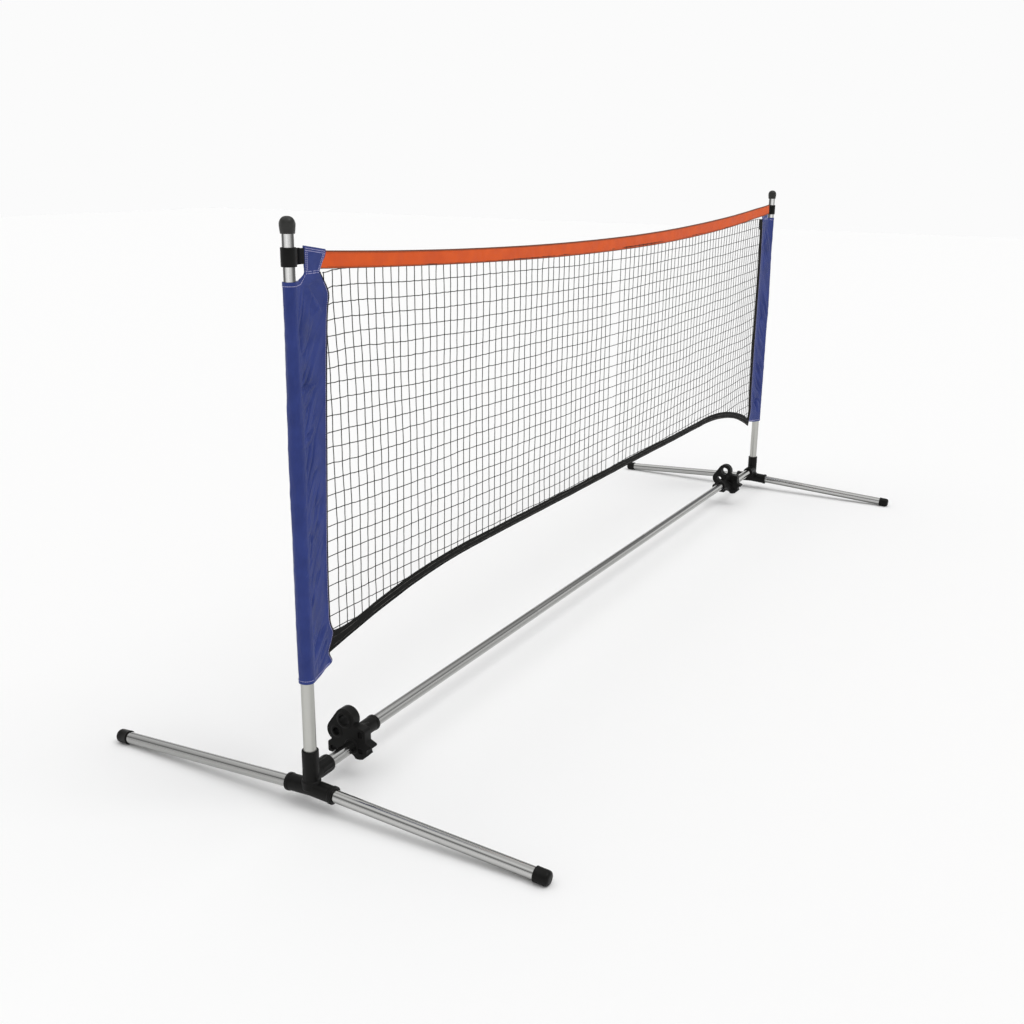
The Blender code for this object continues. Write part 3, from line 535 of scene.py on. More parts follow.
def tee_mesh():
    upright = Matrix.Identity(4)
    joins = []
    for sign in (-1, 1):
        joins.append(barrel(0.0255, -0.014, 0.078, foot_matrix(sign)))
        joins.append(barrel(0.0275, 0.0735, 0.085, foot_matrix(sign)))
    joins.append(barrel(0.0262, 0.0, 0.079, RAIL_MATRIX))
    joins.append(barrel(0.0272, 0.0700, 0.081, RAIL_MATRIX))
    for i in range(14):
        turn = math.tau * (i + 0.5) / 14
        rib = block((0.0255, -0.0012, 0.030), (0.0275, 0.0012, 0.074))
        joins.append(placed(rib, RAIL_MATRIX @ Matrix.Rotation(turn, 4, "Z")))
    joins.append(barrel(0.0288, FOOT_AXIS_Z, FOOT_AXIS_Z + 0.026, upright))
    cuts = [barrel(SOCKET_R, FOOT_AXIS_Z + 0.040, TEE_TOP + 0.02, upright, 64)]
    cuts += [barrel(SOCKET_R, 0.018, 0.12, foot_matrix(sign), 64) for sign in (-1, 1)]
    cuts.append(barrel(SOCKET_R, 0.034, 0.12, RAIL_MATRIX, 64))
    return moulded(barrel(0.0250, FOOT_AXIS_Z - 0.005, TEE_TOP, upright), joins, cuts, 0.0011)


# The bracket's profile, across and up from the bar's axis. The rings add their radius and hole,
# the arch and the clip their radius.
BIG_RING = (0.014, 0.062, 0.036, 0.019)
SMALL_RING = (0.044, 0.017, 0.037, 0.013)
PLATE_BOTTOM = -0.061
ARCH = (-0.007, -0.066, 0.018)
SIDE_CLIP = (-0.081, -0.031, 0.0155)
SHOULDER = (-0.062, 0.043)
LEFT_EDGE = 0.080
# The recesses of its faces: across, up, wide, tall
POCKETS = ((-0.045, 0.024, 0.016, 0.020), (-0.045, -0.030, 0.016, 0.016), (0.058, -0.044, 0.022, 0.014))


def plate_outline():
    """The bracket's profile, across and up from the bar axis, anticlockwise from the shoulder."""
    across = Vector((SMALL_RING[0] - BIG_RING[0], SMALL_RING[1] - BIG_RING[1]))
    lean = math.asin((BIG_RING[2] - SMALL_RING[2]) / across.length)
    touch = math.degrees(math.atan2(across.y, across.x) + math.pi / 2 - lean)
    shoulder = math.degrees(math.asin((SHOULDER[1] + 0.004 - BIG_RING[1]) / BIG_RING[2]))
    outline = arc((SHOULDER[0] + 0.010, SHOULDER[1] - 0.010), 0.010, 180, 90, 8)
    outline += arc(BIG_RING[:2], BIG_RING[2], 180 - shoulder, touch, 30)
    outline += arc(SMALL_RING[:2], SMALL_RING[2], touch, -55, 20)
    outline += [(0.069, -0.022)]
    outline += arc((LEFT_EDGE - 0.010, PLATE_BOTTOM + 0.030), 0.010, 60, 0, 6)
    outline += arc((LEFT_EDGE - 0.008, PLATE_BOTTOM + 0.008), 0.008, 0, -90, 7)
    reach = math.sqrt(ARCH[2] ** 2 - (PLATE_BOTTOM - ARCH[1]) ** 2)
    lift = math.degrees(math.asin((PLATE_BOTTOM - ARCH[1]) / ARCH[2]))
    outline += [(ARCH[0] + reach + 0.006, PLATE_BOTTOM)]
    outline += arc(ARCH[:2], ARCH[2], lift, 180 - lift, 20)
    outline += [(ARCH[0] - reach - 0.014, PLATE_BOTTOM), (SHOULDER[0] + 0.010, PLATE_BOTTOM + 0.004)]
    outline += [(SHOULDER[0], PLATE_BOTTOM + 0.014)]
    outline += arc(SIDE_CLIP[:2], SIDE_CLIP[2], -38, 72, 14)
    outline += arc((SIDE_CLIP[0] + 0.002, SIDE_CLIP[1] + SIDE_CLIP[2] + 0.0055), 0.0055, 250, 90, 9)
    outline += [(SHOULDER[0], SIDE_CLIP[1] + SIDE_CLIP[2] + 0.018)]
    return outline


def crank_mesh():
    """The socket for the bar, which first swings over from the rail's axis to the bar's."""
    start, length, steps, swing = PLATE_THICK - 0.006, CRANK_LENGTH + 0.006, 48, 0.055
    stations = [(reach, 0.0245) for reach in spaced(0, swing, 12) + [length - 0.0125]]
    stations += [(length - 0.0115, 0.0259), (length - 0.0008, 0.0259), (length, 0.0252)]
    rings, over = [], Vector((0, BAR.y, BAR.z - RAIL_Z))
    for reach, radius in stations:
        centre = Vector((start + reach, 0, RAIL_Z)) + over * eased(reach / swing)
        turns = [math.tau * k / steps for k in range(steps)]
        rings.append([centre + Vector((0, radius * math.cos(t), radius * math.sin(t))) for t in turns])
    return outward(rings_mesh(rings, caps=True))


def bracket_mesh():
    """The clip bracket in its own frame, its face towards the tee at x = 0."""
    recess = 0.006
    place = lambda a, b, depth: (depth, BAR.y + a, BAR.z + b)
    plate = extruded(plate_outline(), 0, PLATE_THICK, place)
    joins = [barrel(0.0245, -0.004, 0.01, RAIL_MATRIX), crank_mesh()]
    cuts, pockets = [], []
    for across, up, _, hole in (BIG_RING, SMALL_RING):
        axis = Matrix.Translation((0, BAR.y + across, BAR.z + up)) @ ALONG_X
        joins.append(barrel(hole + 0.007, -0.002, PLATE_THICK + 0.002, axis))
        cuts.append(barrel(hole, -0.02, PLATE_THICK + 0.02, axis, 64))
    web_reach, web_foot, web_back = 0.054, 0.023, PLATE_THICK - 0.007
    web = [(web_back, -0.010), (PLATE_THICK + web_reach, -0.010), (PLATE_THICK + web_reach, web_foot)]
    for i in range(1, 16):
        turn = math.pi / 2 * i / 15
        web.append((PLATE_THICK + web_reach * (1 - math.sin(turn)), web_foot + 0.025 * (1 - math.cos(turn))))
    web.append((web_back, 0.048))
    joins.append(extruded(web, BAR.y - 0.015, BAR.y - 0.001, lambda a, b, depth: (a, depth, BAR.z + b)))
    mouth = PLATE_THICK + CRANK_LENGTH
    cuts.append(barrel(SOCKET_R, mouth - 0.032, mouth + 0.02, Matrix.Translation(BAR) @ ALONG_X, 64))
    cuts.append(barrel(SOCKET_R, -0.02, 0.028, RAIL_MATRIX, 64))
    for low, high in ((-0.01, recess), (PLATE_THICK - recess, PLATE_THICK + 0.01)):
        for across, up, wide, tall in POCKETS:
            left, right, bottom, top = across - wide / 2, across + wide / 2, up - tall / 2, up + tall / 2
            corners = [(left, bottom), (right, bottom), (right, top), (left, top)]
            pockets.append(extruded(corners, low, high, place))
    return moulded(carved(plate, joins, pockets), (), cuts, 0.0013)


def collar_mesh():
    top, bottom, tab_top = 1.610, 1.561, 1.607
    body = turned(pipe_profile(0.0208, UPPER_R + 0.0004, bottom, top, 0.0009), (0, 0, 0), (0, 0, 1))
    outline = [(0.0185, 1.563), (0.044, 1.5655), (0.046, 1.568), (0.046, tab_top - 0.004), (0.042, tab_top),
               (0.0185, tab_top)]
    tab = extruded(outline, -0.003, 0.003, lambda a, b, depth: (a, depth, b))
    slot = block((0.033, -0.01, 1.567), (0.0395, 0.01, 1.603))
    bevel = {"width": 0.0006, "segments": 2, "limit_method": "ANGLE", "angle_limit": math.radians(40)}
    return carved(outward(body), [tab], [slot], [("BEVEL", bevel)])


def strap_mesh():
    """A loop of webbing through the collar's slot and round the fold of the header."""
    near, far, half, thick, wide, height = 0.0352, 0.0600, 0.0058, 0.0022, 0.040, 1.585
    middle, reach = (near + far) / 2, (far - near) / 2
    low, high = height - wide / 2, height + wide / 2
    rings, uvs = [], []
    count, run, last = 40, 0.0, None
    for i in range(count):
        turn = math.tau * i / count
        x = middle + math.copysign(min(abs(math.cos(turn)) ** 0.45, 1), math.cos(turn)) * reach
        y = math.copysign(abs(math.sin(turn)) ** 0.8, math.sin(turn)) * (half - 0.0001)
        inner_x = middle + (x - middle) * (1 - thick / reach)
        inner_y = y * (1 - thick / half)
        rings.append([(x, y, low), (x, y, high), (inner_x, inner_y, high), (inner_x, inner_y, low)])
        if last:
            run += math.dist(last, (x, y))
        last = (x, y)
        uvs += [(run, 0), (run, wide), (run, wide + thick), (run, -thick)]
    return outward(rings_mesh(rings, loop=True, uvs=uvs))


def build_mouldings():
    tee, bracket, collar, strap = tee_mesh(), bracket_mesh(), collar_mesh(), strap_mesh()
    for side in SIDES:
        place = end_matrix(side)
        shift = place @ Matrix.Translation((BRACKET_PLACE[side], 0, 0))
        for name, mesh, matrix, body, node in (("tee", tee, place, "base", "base_tee"),
                                               ("bracket", bracket, shift, "base", "clip_bracket"),
                                               ("collar", collar, place, f"{side}_mast", "net_collar")):
            piece(f"{side}_{name}_moulded", placed(mesh, matrix), PLASTIC, body, [f"{side}_{node}"])
        loop = piece(f"{side}_strap_woven", placed(strap, place), WEBBING, "left_mast", [f"{side}_net_strap"])


# Sleeves

# How far the panel's free edge stands from the post's axis, by height
EDGE = {
    "left": [(0.400, 0.114), (0.416, 0.117), (0.450, 0.103), (0.485, 0.119), (0.507, 0.127), (0.530, 0.117),
             (0.551, 0.112), (0.732, 0.112), (1.052, 0.126), (1.250, 0.136), (1.410, 0.147), (1.445, 0.152),
             (1.478, 0.158), (1.500, 0.149), (1.523, 0.134), (1.540, 0.124), (1.556, 0.131), (1.594, 0.150),
             (1.612, 0.151)],
    "right": [(0.400, 0.143), (0.430, 0.134), (0.483, 0.118), (0.530, 0.126), (0.651, 0.133), (0.900, 0.136),
              (1.300, 0.134), (1.450, 0.141), (1.523, 0.148), (1.612, 0.151)],
}
SEED = {"left": 3.1, "right": 17.4}
HEM_LIFT = {"left": 0.015, "right": 0.020}
SEAM_WIDTH = {"left": 0.0021, "right": 0.0030}
THREAD_LIFT = 0.0010
MOUTH = math.radians(75)  # where the cloth leaves the round of the post


def smooth_between(table, at):
    """A smooth curve through (place, value) pairs."""
    for i in range(len(table) - 1):
        if at <= table[i + 1][0] or i == len(table) - 2:
            break
    before, a, b, after = (table[max(0, min(len(table) - 1, i + k))] for k in (-1, 0, 1, 2))
    t = clamped((at - a[0]) / (b[0] - a[0]))
    slope_a = (b[1] - before[1]) / (b[0] - before[0]) * (b[0] - a[0])
    slope_b = (after[1] - a[1]) / (after[0] - a[0]) * (b[0] - a[0])
    t2, t3 = t * t, t * t * t
    return ((2 * t3 - 3 * t2 + 1) * a[1] + (t3 - 2 * t2 + t) * slope_a
            + (3 * t2 - 2 * t3) * b[1] + (t3 - t2) * slope_b)


def panel_edge(side, z):
    return smooth_between(EDGE[side], z)


def folds(side, x, z):
    """How far the sleeve's panel swings out of its plane: slack slanting folds and small creases."""
    seed = SEED[side]
    share = clamped((x + 0.008) / (panel_edge(side, z) + 0.008))
    up = (z - SLEEVE_BOTTOM) / (SLEEVE_TOP[side] - SLEEVE_BOTTOM)
    fade = min(1.0, 7 * up + 0.15, max(0.0, 9 * (1.06 - up)))
    fade *= math.sin(math.pi * min(1.0, 0.10 + share * 0.95)) ** 0.7
    slant = z - x * 1.5 + 0.05 * ripple(x * 5, z * 2.5, seed + 20.0)
    climb = x + z * 0.6
    patch = clamped(0.55 + 1.6 * ripple(x * 10, z * 5.5, seed + 12.0))
    wave = ripple(slant * 9 + 2.0 * ripple(x * 9, z * 2.2, seed), z * 1.3, seed)
    small = ripple(slant * 26, climb * 5, seed + 4.0)
    sharp = 1 - abs(ripple(slant * 17, climb * 6, seed + 7.0)) * 2.2
    tiny = ripple(slant * 90, climb * 22, seed + 9.0)
    low = 1.0 + 0.8 * max(0.0, 1 - up * 1.8)
    creases = 0.0034 * small * (0.3 + patch) + 0.0066 * max(0.0, sharp) ** 4 * patch + 0.0010 * tiny * patch
    return fade * (0.0042 * wave + creases * low) + crease(side, x, z) * min(1.0, fade * 2)


# Each crease: start, end, depth, width
CREASES = {
    "left": [
        ((-0.006, 1.236), (0.100, 1.249), 0.0070, 0.009), ((-0.014, 1.092), (0.050, 1.114), 0.0056, 0.008),
        ((0.004, 1.080), (0.078, 1.136), 0.0030, 0.006), ((-0.015, 0.945), (0.080, 1.010), 0.0022, 0.010),
        ((-0.006, 0.598), (0.066, 0.735), 0.0026, 0.005), ((-0.015, 0.728), (0.030, 0.768), 0.0028, 0.006),
        ((0.004, 0.620), (0.084, 0.728), 0.0026, 0.006), ((0.010, 0.800), (0.085, 0.865), 0.0024, 0.008),
        ((0.020, 0.480), (0.100, 0.548), 0.0040, 0.010), ((0.050, 0.440), (0.098, 0.500), 0.0030, 0.008),
        ((0.070, 1.510), (0.130, 1.436), 0.0085, 0.016)],
    "right": [
        ((0.030, 0.470), (0.120, 0.560), 0.0040, 0.010), ((0.020, 0.700), (0.110, 0.790), 0.0030, 0.010),
        ((0.030, 1.060), (0.120, 1.110), 0.0030, 0.008), ((0.060, 1.440), (0.130, 1.380), 0.0040, 0.014)],
}


def crease(side, x, z):
    """The single creases that show, each of them a ridge beside a furrow along a line."""
    total = 0.0
    for start, end, depth, width in CREASES[side]:
        run = Vector(end) - Vector(start)
        along = Vector((x - start[0], z - start[1])).dot(run) / run.length_squared
        if -0.2 < along < 1.2:
            off = ((z - start[1]) * run.x - (x - start[0]) * run.y) / run.length / width
            fade = math.exp(-max(0.0, abs(along - 0.5) - 0.30) ** 2 / 0.012)
            total += depth * fade * off * math.exp(-off * off) * 1.6
    return total


def hem_lift(side, x, z):
    """The panel's lower corner is drawn up by the bottom band."""
    share = clamped((x - 0.02) / (panel_edge(side, z) - 0.02))
    return HEM_LIFT[side] * share**1.5 * math.exp(-(z - SLEEVE_BOTTOM) / 0.03)


def pocket_radius(z):
    """The pocket's round, which narrows onto the upper post above the lock ring's reach."""
    return SLEEVE_R - 0.0050 * eased((z - 1.0) / 0.45)


def post_reach(x, z):
    """How far out the post holds the cloth beside it."""
    return math.sqrt(max(0.0, (pocket_radius(z) - 0.0006) ** 2 - x * x))


def sleeve_half(side, x, z):
    """Half the sleeve's thickness past the round of the post. The cloth closes sooner at its top."""
    loose = eased((SLEEVE_TOP[side] - z) / 0.11)
    radius = pocket_radius(z)
    start, end = radius * math.cos(MOUTH), 0.066 + 0.034 * loose
    share = clamped((x - start) / (end - start))
    return WALL + (radius * math.sin(MOUTH) - WALL) * (1 - share) ** (2 - 0.65 * loose)


def sleeve_mesh(side):
    """A pocket round the post and a doubled panel whose free edge narrows and widens down its length."""
    seed, top = SEED[side], SLEEVE_TOP[side]
    levels, hem_height = spaced(SLEEVE_BOTTOM, top, 420), 0.012
    round_count, flat_count, bore_count = 40, 42, 40
    outer, outer_uv, inner, inner_uv = [], [], [], []
    for z in levels:
        hem = 0.0006 if z < SLEEVE_BOTTOM + hem_height or z > top - hem_height else 0.0
        round_radius = pocket_radius(z)
        ring = []
        for i in range(round_count + 1):
            turn = MOUTH + (math.tau - 2 * MOUTH) * i / round_count
            ease = min(1.0, 7 * i / round_count, 7 * (1 - i / round_count))
            loose = 0.0012 * ripple(math.cos(turn) * 1.6, math.sin(turn) * 1.6, z * 9 + seed)
            loose += 0.0007 * ripple(math.cos(turn) * 4, math.sin(turn) * 4, z * 34 + seed)
            loose += 0.0016 * max(0.0, ripple((z - math.cos(turn) * 0.035) * 26, z * 3, seed + 4.0))
            front = max(0.0, -math.sin(turn - 0.3)) ** 3
            loose += max(-0.0004, -folds(side, round_radius * math.cos(turn), z)) * front
            radius = round_radius + hem + max(-0.0006, loose + 0.0004) * ease
            ring.append(Vector((radius * math.cos(turn), radius * math.sin(turn), z)))
            outer_uv.append((turn * SLEEVE_R, z))
        reach = panel_edge(side, z) - 0.0003
        start = ring[0].x
        for face in (-1, 1):
            for i in range(1, flat_count + 1):
                share = i / flat_count if face < 0 else 1 - (i - 1) / flat_count
                x = start + (reach - start) * share
                half = (sleeve_half(side, x, z) + hem) * (1.0 if share < 0.97 else 0.55)
                ease = clamped((x - start) / 0.01)
                y = face * max(post_reach(x, z), half + face * folds(side, x, z) * ease)
                ring.append(Vector((x, y, z + hem_lift(side, x, z))))
                outer_uv.append((x if face > 0 else -x, z))
        outer.append(ring)
        inner.append(circle(round_radius - WALL, z, bore_count))
        inner_uv += [(math.tau * k / bore_count * SLEEVE_R, z) for k in range(bore_count)]
    points = [point for ring in outer + inner for point in ring]
    skins = ((0, len(outer[0])), (len(levels) * len(outer[0]), bore_count))
    faces = []
    for base, count in skins:
        for i in range(len(levels) - 1):
            for j in range(count):
                low, k = base + i * count, (j + 1) % count
                face = (low + j, low + k, low + count + k, low + count + j)
                faces.append((face[0], face[3], face[2], face[1]) if base else face)

    def close(shape):
        shape.verts.ensure_lookup_table()
        for row in (0, len(levels) - 1):
            rims = [[shape.verts[base + row * count + j] for j in range(count)] for base, count in skins]
            edges = [shape.edges.get((rim[j - 1], rim[j])) for rim in rims for j in range(len(rim))]
            bmesh.ops.triangle_fill(shape, use_beauty=True, edges=edges)
        face_outward(shape)

    return edited(mesh_of(points, faces, outer_uv + inner_uv), close)


EAR_BOTTOM, EAR_TOP, EAR_TILT = 1.506, 1.6116, 0.0145
EAR_EDGE = [(1.500, 0.030), (1.515, 0.031), (1.524, 0.036), (1.5325, 0.050), (1.541, 0.0600), (1.560, 0.0600),
            (1.585, 0.0590), (1.612, 0.0590)]


def ear_left(z):
    """The free edge of the ear towards the post."""
    return smooth_between(EAR_EDGE, z)


def ear_swing(side, x, z):
    """The ear follows the panel's folds at its foot."""
    return folds(side, x, z) * max(0.0, 1 - (z - EAR_BOTTOM) / 0.02)


def ear_mesh(side):
    """The neck and the folded patch above the sleeve."""
    half, rows, columns = 0.0033, 52, 26
    front, back, uv_front, uv_back = [], [], [], []
    for z in spaced(EAR_BOTTOM, EAR_TOP, rows):
        for share in spaced(0.0, 1.0, columns):
            x = ear_left(z) + (panel_edge(side, z) - 0.0002 - ear_left(z)) * share
            drop = EAR_TILT * share * max(0.0, (z - 1.56) / (EAR_TOP - 1.56))
            rim = min(1.0, 0.45 + 6 * share, 0.45 + 6 * (1 - share))
            neck = math.exp(-((z - 1.541) / 0.006) ** 2)
            thick = (half - 0.0012 * neck - (0.0009 if z < 1.520 else 0)) * rim
            middle = ear_swing(side, x, z) + 0.0007 * math.sin(x * 330) * neck
            middle += 0.0006 * ripple(x * 60, z * 60, SEED[side])
            front.append(Vector((x, middle - thick, z - drop)))
            back.append(Vector((x, middle + thick, z - drop)))
            uv_front.append((x, z))
            uv_back.append((-x, z))
    row, total = columns + 1, len(front)
    faces = []
    for i in range(rows):
        for j in range(columns):
            a, b, c, d = i * row + j, i * row + j + 1, (i + 1) * row + j + 1, (i + 1) * row + j
            faces += [(a, b, c, d), (total + d, total + c, total + b, total + a)]
    rim = [i * row for i in range(rows)] + [rows * row + j for j in range(columns)]
    rim += [i * row + columns for i in range(rows, 0, -1)] + list(range(columns, 0, -1))
    faces += [(a, b, total + b, total + a) for a, b in zip(rim, rim[1:] + rim[:1])]
    return outward(mesh_of(front + back, faces, uv_front + uv_back))


def joined(meshes):
    shape = bmesh.new()
    for mesh in meshes:
        shape.from_mesh(mesh)
    return taken(shape)


def stitches(path, normal_at, pitch=0.0050, length=0.0042, wide=0.0017, tall=0.0007):
    """Thread stitches laid end to end along a path of points, lying on the cloth."""
    lengths = [0.0]
    for a, b in zip(path, path[1:]):
        lengths.append(lengths[-1] + (b - a).length)
    points, faces, uvs = [], [], []
    at, k = pitch / 2, 0
    while at < lengths[-1] - pitch / 2:
        while lengths[k + 1] < at:
            k += 1
        middle = path[k].lerp(path[k + 1], (at - lengths[k]) / (lengths[k + 1] - lengths[k]))
        along = (path[k + 1] - path[k]).normalized()
        out = normal_at(middle)
        across = along.cross(out).normalized()
        a = len(points)
        b, first, second = a + 1, a + 2, a + 6
        points += [middle + along * length * end / 2 - out * tall * 0.3 for end in (-1, 1)]
        for lean in (-0.22, 0.22):
            spot = middle + along * length * lean
            points += [spot + across * wide / 2, spot + out * tall]
            points += [spot - across * wide / 2, spot - out * tall * 0.5]
        for j in range(4):
            n = (j + 1) % 4
            faces += [(a, first + n, first + j), (b, second + j, second + n)]
            faces.append((first + j, first + n, second + n, second + j))
        uvs += [(middle.x + middle.y, middle.z)] * 10
        at += pitch
    return mesh_of(points, faces, uvs)


def face_stitches(points_at, **sizes):
    """Stitches along both faces of a cloth. points_at gives the path on a face."""
    return [stitches(points_at(face), lambda point, face=face: Vector((0, face, 0)), **sizes)
            for face in (-1, 1)]


def sleeve_lines(side):
    """The seams of a sleeve, as (x, z) lines in the panel's plane."""
    hem_z, top, mouth_end = SLEEVE_BOTTOM + 0.009, SLEEVE_TOP[side] - 0.011, 0.034
    lines = [[(panel_edge(side, z) - 0.0055, z) for z in spaced(hem_z + 0.001, top, 160)]]
    lines.append([(x, hem_z) for x in spaced(0.008, panel_edge(side, hem_z) - 0.008, 30)])
    lines.append([(x, top + 0.0002 * i) for i, x in enumerate(spaced(0.010, mouth_end, 8))])
    if side == "left":
        lines.append([(mouth_end, 1.513), (0.044, 1.5185), (0.055, 1.530), (0.063, 1.5385)])
    return lines


def ear_lines(side):
    """The seams of an ear: two each along its top, its neck, its left side and its free edge."""
    low, left = 1.546, 0.060
    lines = [[(x, z - EAR_TILT * (x - 0.059) / 0.092) for x in spaced(0.062, 0.148, 16)]
             for z in (1.6055, 1.6000)]
    lines += [[(x, z) for x in spaced(0.063, 0.121, 12)] for z in (1.5385, 1.5440)]
    for inset in (0.0045, 0.0105):
        lines.append([(left + inset, z) for z in spaced(low, 1.598, 12)])
        lines.append([(panel_edge(side, z) - inset, z) for z in spaced(low, 1.590, 12)])
    return lines


def sleeve_seam(side, line, face):
    path = []
    for x, z in line:
        half = sleeve_half(side, x, z) + THREAD_LIFT + face * folds(side, x, z)
        path.append(Vector((x, face * max(post_reach(x, z) + THREAD_LIFT, half), z + hem_lift(side, x, z))))
    return path


def ear_seam(side, line, face):
    path = []
    for x, z in line:
        half = (0.0034 if z > 1.548 else 0.0024) + face * ear_swing(side, x, z)
        path.append(Vector((x, face * max(0.0, half), z)))
    return path


def build_sleeve(side):
    place = end_matrix(side)
    mesh = placed(joined([sleeve_mesh(side), ear_mesh(side)]), place)
    cloth = piece(f"{side}_sleeve_sewn", mesh, NYLON, "left_mast", [f"{side}_sleeve", f"{side}_header"],
                  sharp=50)
    seams = []
    for lines, path_on in ((sleeve_lines(side), sleeve_seam), (ear_lines(side), ear_seam)):
        for line in lines:
            seams += face_stitches(lambda face: path_on(side, line, face), wide=SEAM_WIDTH[side])
    for z in (SLEEVE_BOTTOM + 0.0095, SLEEVE_TOP[side] - 0.0105):
        radius = pocket_radius(z) + 0.0013
        turns = spaced(MOUTH, math.tau - MOUTH, 60)
        ring = [Vector((radius * math.cos(t), radius * math.sin(t), z)) for t in turns]
        seams.append(stitches(ring, lambda point: Vector((point.x, point.y, 0)).normalized()))
    mesh = placed(joined(seams), place)
    thread = piece(f"{side}_sleeve_stitching", mesh, THREAD, "left_mast")
    binding = piece(f"{side}_net_binding", binding_mesh(side), BLACK_TAPE, "left_mast")


# Bands and net

TOP_BAND_SPREAD = [(-2.05, -1.4), (-1.4, -1.2), (0, 0.3), (1.2, 1.0), (2.05, -0.6)]


def top_edge(x):
    return TOP_BAND_MIDDLE + TOP_BAND_RISE[-1 if x < 0 else 1] * (x / NET_HALF) ** 2


def top_width(x):
    return TOP_BAND_WIDTH + 0.004 * smooth_between(TOP_BAND_SPREAD, x)


def top_low(x):
    return top_edge(x) - top_width(x)


def bottom_edge(x):
    beyond = max(0.0, abs(x) - BOTTOM_BAND_LEVEL) / (NET_HALF - BOTTOM_BAND_LEVEL)
    return BOTTOM_BAND_MIDDLE - BOTTOM_BAND_DROP[-1 if x < 0 else 1] * beyond**2


def bottom_width(x):
    """The bottom band's width, which opens out where it is sewn into the sleeves."""
    beyond = max(0.0, abs(x) - 1.0) / (NET_HALF - 1.0)
    flare = 0.022 * math.exp(-(NET_HALF + 0.02 + x) / 0.06)
    return 0.030 + 0.006 * min(1.0, beyond * 1.6) + flare


def net_edge(sign, z):
    """Where the net meets the sleeve's panel at a height."""
    side = "left" if sign < 0 else "right"
    return sign * (HALF_SPAN - panel_edge(side, min(z, 1.52)) - BINDING[side] + 0.004)


def band_sway(x, seed):
    return 0.0035 * ripple(x * 1.7, seed, 0) + 0.0012 * ripple(x * 9, seed, 3)


def band_front(x):
    """The top band passes in front of the right ear, and lies between the two layers of the left one."""
    return -0.0052 * min(1.0, max(0.0, (x - 1.80) / 0.08))


def band_shift(x, low_x, high_x, seed, front):
    """How far a band lies out of the net's plane. Its ends are held."""
    shift = band_sway(x, seed) * min(1.0, 6 * (x - low_x), 6 * (high_x - x))
    return shift + (front(x) if front else 0.0)


def band_crease(x, share, seed):
    return 0.0010 * ripple(x * 14, share * 1.4, seed + 7)


def tape_mesh(ends, low_z, width_at, seed, front):
    """A folded tape along the net, puckered by its seams. Each end is a function of the height."""
    count, across = 460, 8
    low_x, high_x = ends[0](low_z(-NET_HALF)), ends[1](low_z(NET_HALF))
    rings, uvs = [], []
    for i, base_x in enumerate(spaced(low_x, high_x, count)):
        shift = band_shift(base_x, low_x, high_x, seed, front)
        base, width = low_z(base_x), width_at(base_x)
        ring = []
        for side in (-1, 1):
            for j in range(across + 1):
                share = j / across if side < 0 else 1 - j / across
                z = base + width * share
                left, right = ends[0](z), ends[1](z)
                x = left + (right - left) * i / count
                belly = math.sin(math.pi * share)
                pucker = 0.0007 * ripple(x * 55, share * 2.2, seed + side)
                seam = 0.35 if 0.06 < share < 0.16 or 0.84 < share < 0.94 else 0.0
                half = TAPE_THICK * (0.5 - 0.28 * seam + 0.12 * belly)
                y = shift + band_crease(x, share, seed) + side * half + pucker * belly
                ring.append(Vector((x, y, z)))
                uvs.append((x if side < 0 else x + 0.37, width_at(0) * share))
        rings.append(ring)
    return outward(rings_mesh(rings, caps=True, uvs=uvs))


def band_stitches(low_x, high_x, low_z, share, width_at, seed, front):
    def path_on(face):
        path = []
        for x in spaced(low_x, high_x, 899):
            shift = band_shift(x, low_x, high_x, seed, front) + band_crease(x, share, seed)
            path.append(Vector((x, shift + face * TAPE_THICK * 0.5, low_z(x) + width_at(x) * share)))
        return path

    return joined(face_stitches(path_on, pitch=0.0055, length=0.0046))


def build_band(name, ends, seam_ends, seam_shares, low_z, width_at, seed, finish, thread, front=None):
    """A band and its seams. The shares say how far up its width the seams run."""
    mesh = tape_mesh(ends, low_z, width_at, seed, front)
    tape = piece(f"{name}_taped", mesh, finish, "left_mast", [name], sharp=60)
    seams = [band_stitches(*seam_ends, low_z, share, width_at, seed, front) for share in seam_shares]
    return tape, piece(f"{name}_stitching", joined(seams), thread, "left_mast")


def build_bands():
    ends = (lambda z: -HALF_SPAN + panel_edge("left", z) - 0.005, lambda z: HALF_SPAN - 0.062)
    tape, thread = build_band("top_band", ends, (-HALF_SPAN + 0.154, HALF_SPAN - 0.066), (0.11, 0.89),
                              top_low, top_width, 2.0, ORANGE, DARK_THREAD, band_front)
    build_net()
    ends = (lambda z: -HALF_SPAN + panel_edge("left", z) - 0.004,
            lambda z: HALF_SPAN - panel_edge("right", z) + 0.004)
    tape, thread = build_band("bottom_band", ends, (-HALF_SPAN + 0.124, HALF_SPAN - 0.139), (0.22, 0.66),
                              bottom_edge, bottom_width, 5.0, BLACK_TAPE, GREY_THREAD)


NET_TOP = 1.493  # the row that the top band is sewn over, halfway along
ROW = 0.0437  # height of a mesh
CELL = 0.0435  # width of a mesh at the middle of the net
ROWS = 27  # as many as reach the bottom band at its lowest
CORD_R = 0.0014
KNOT_R = 0.0027
GATHER = {-1: 0.16, 1: 0.26}  # how much narrower the meshes are at an end


def column_place(u):
    """Where upright cord u stands. Cord 0 is in the middle, and the meshes narrow towards the ends."""
    sign = -1 if u < 0 else 1
    most = NET_HALF / CELL
    share = abs(u) / (most * (1 + GATHER[sign] * 0.45))
    return sign * abs(u) * CELL * (1 - GATHER[sign] * 0.36 * share**2)


def row_height(row, x):
    """Rows count down from the top band. They follow its sag less and less."""
    rise = 0.058 * (x / NET_HALF) ** 2
    return NET_TOP - row * ROW + rise * (1 - 0.55 * row / 25)


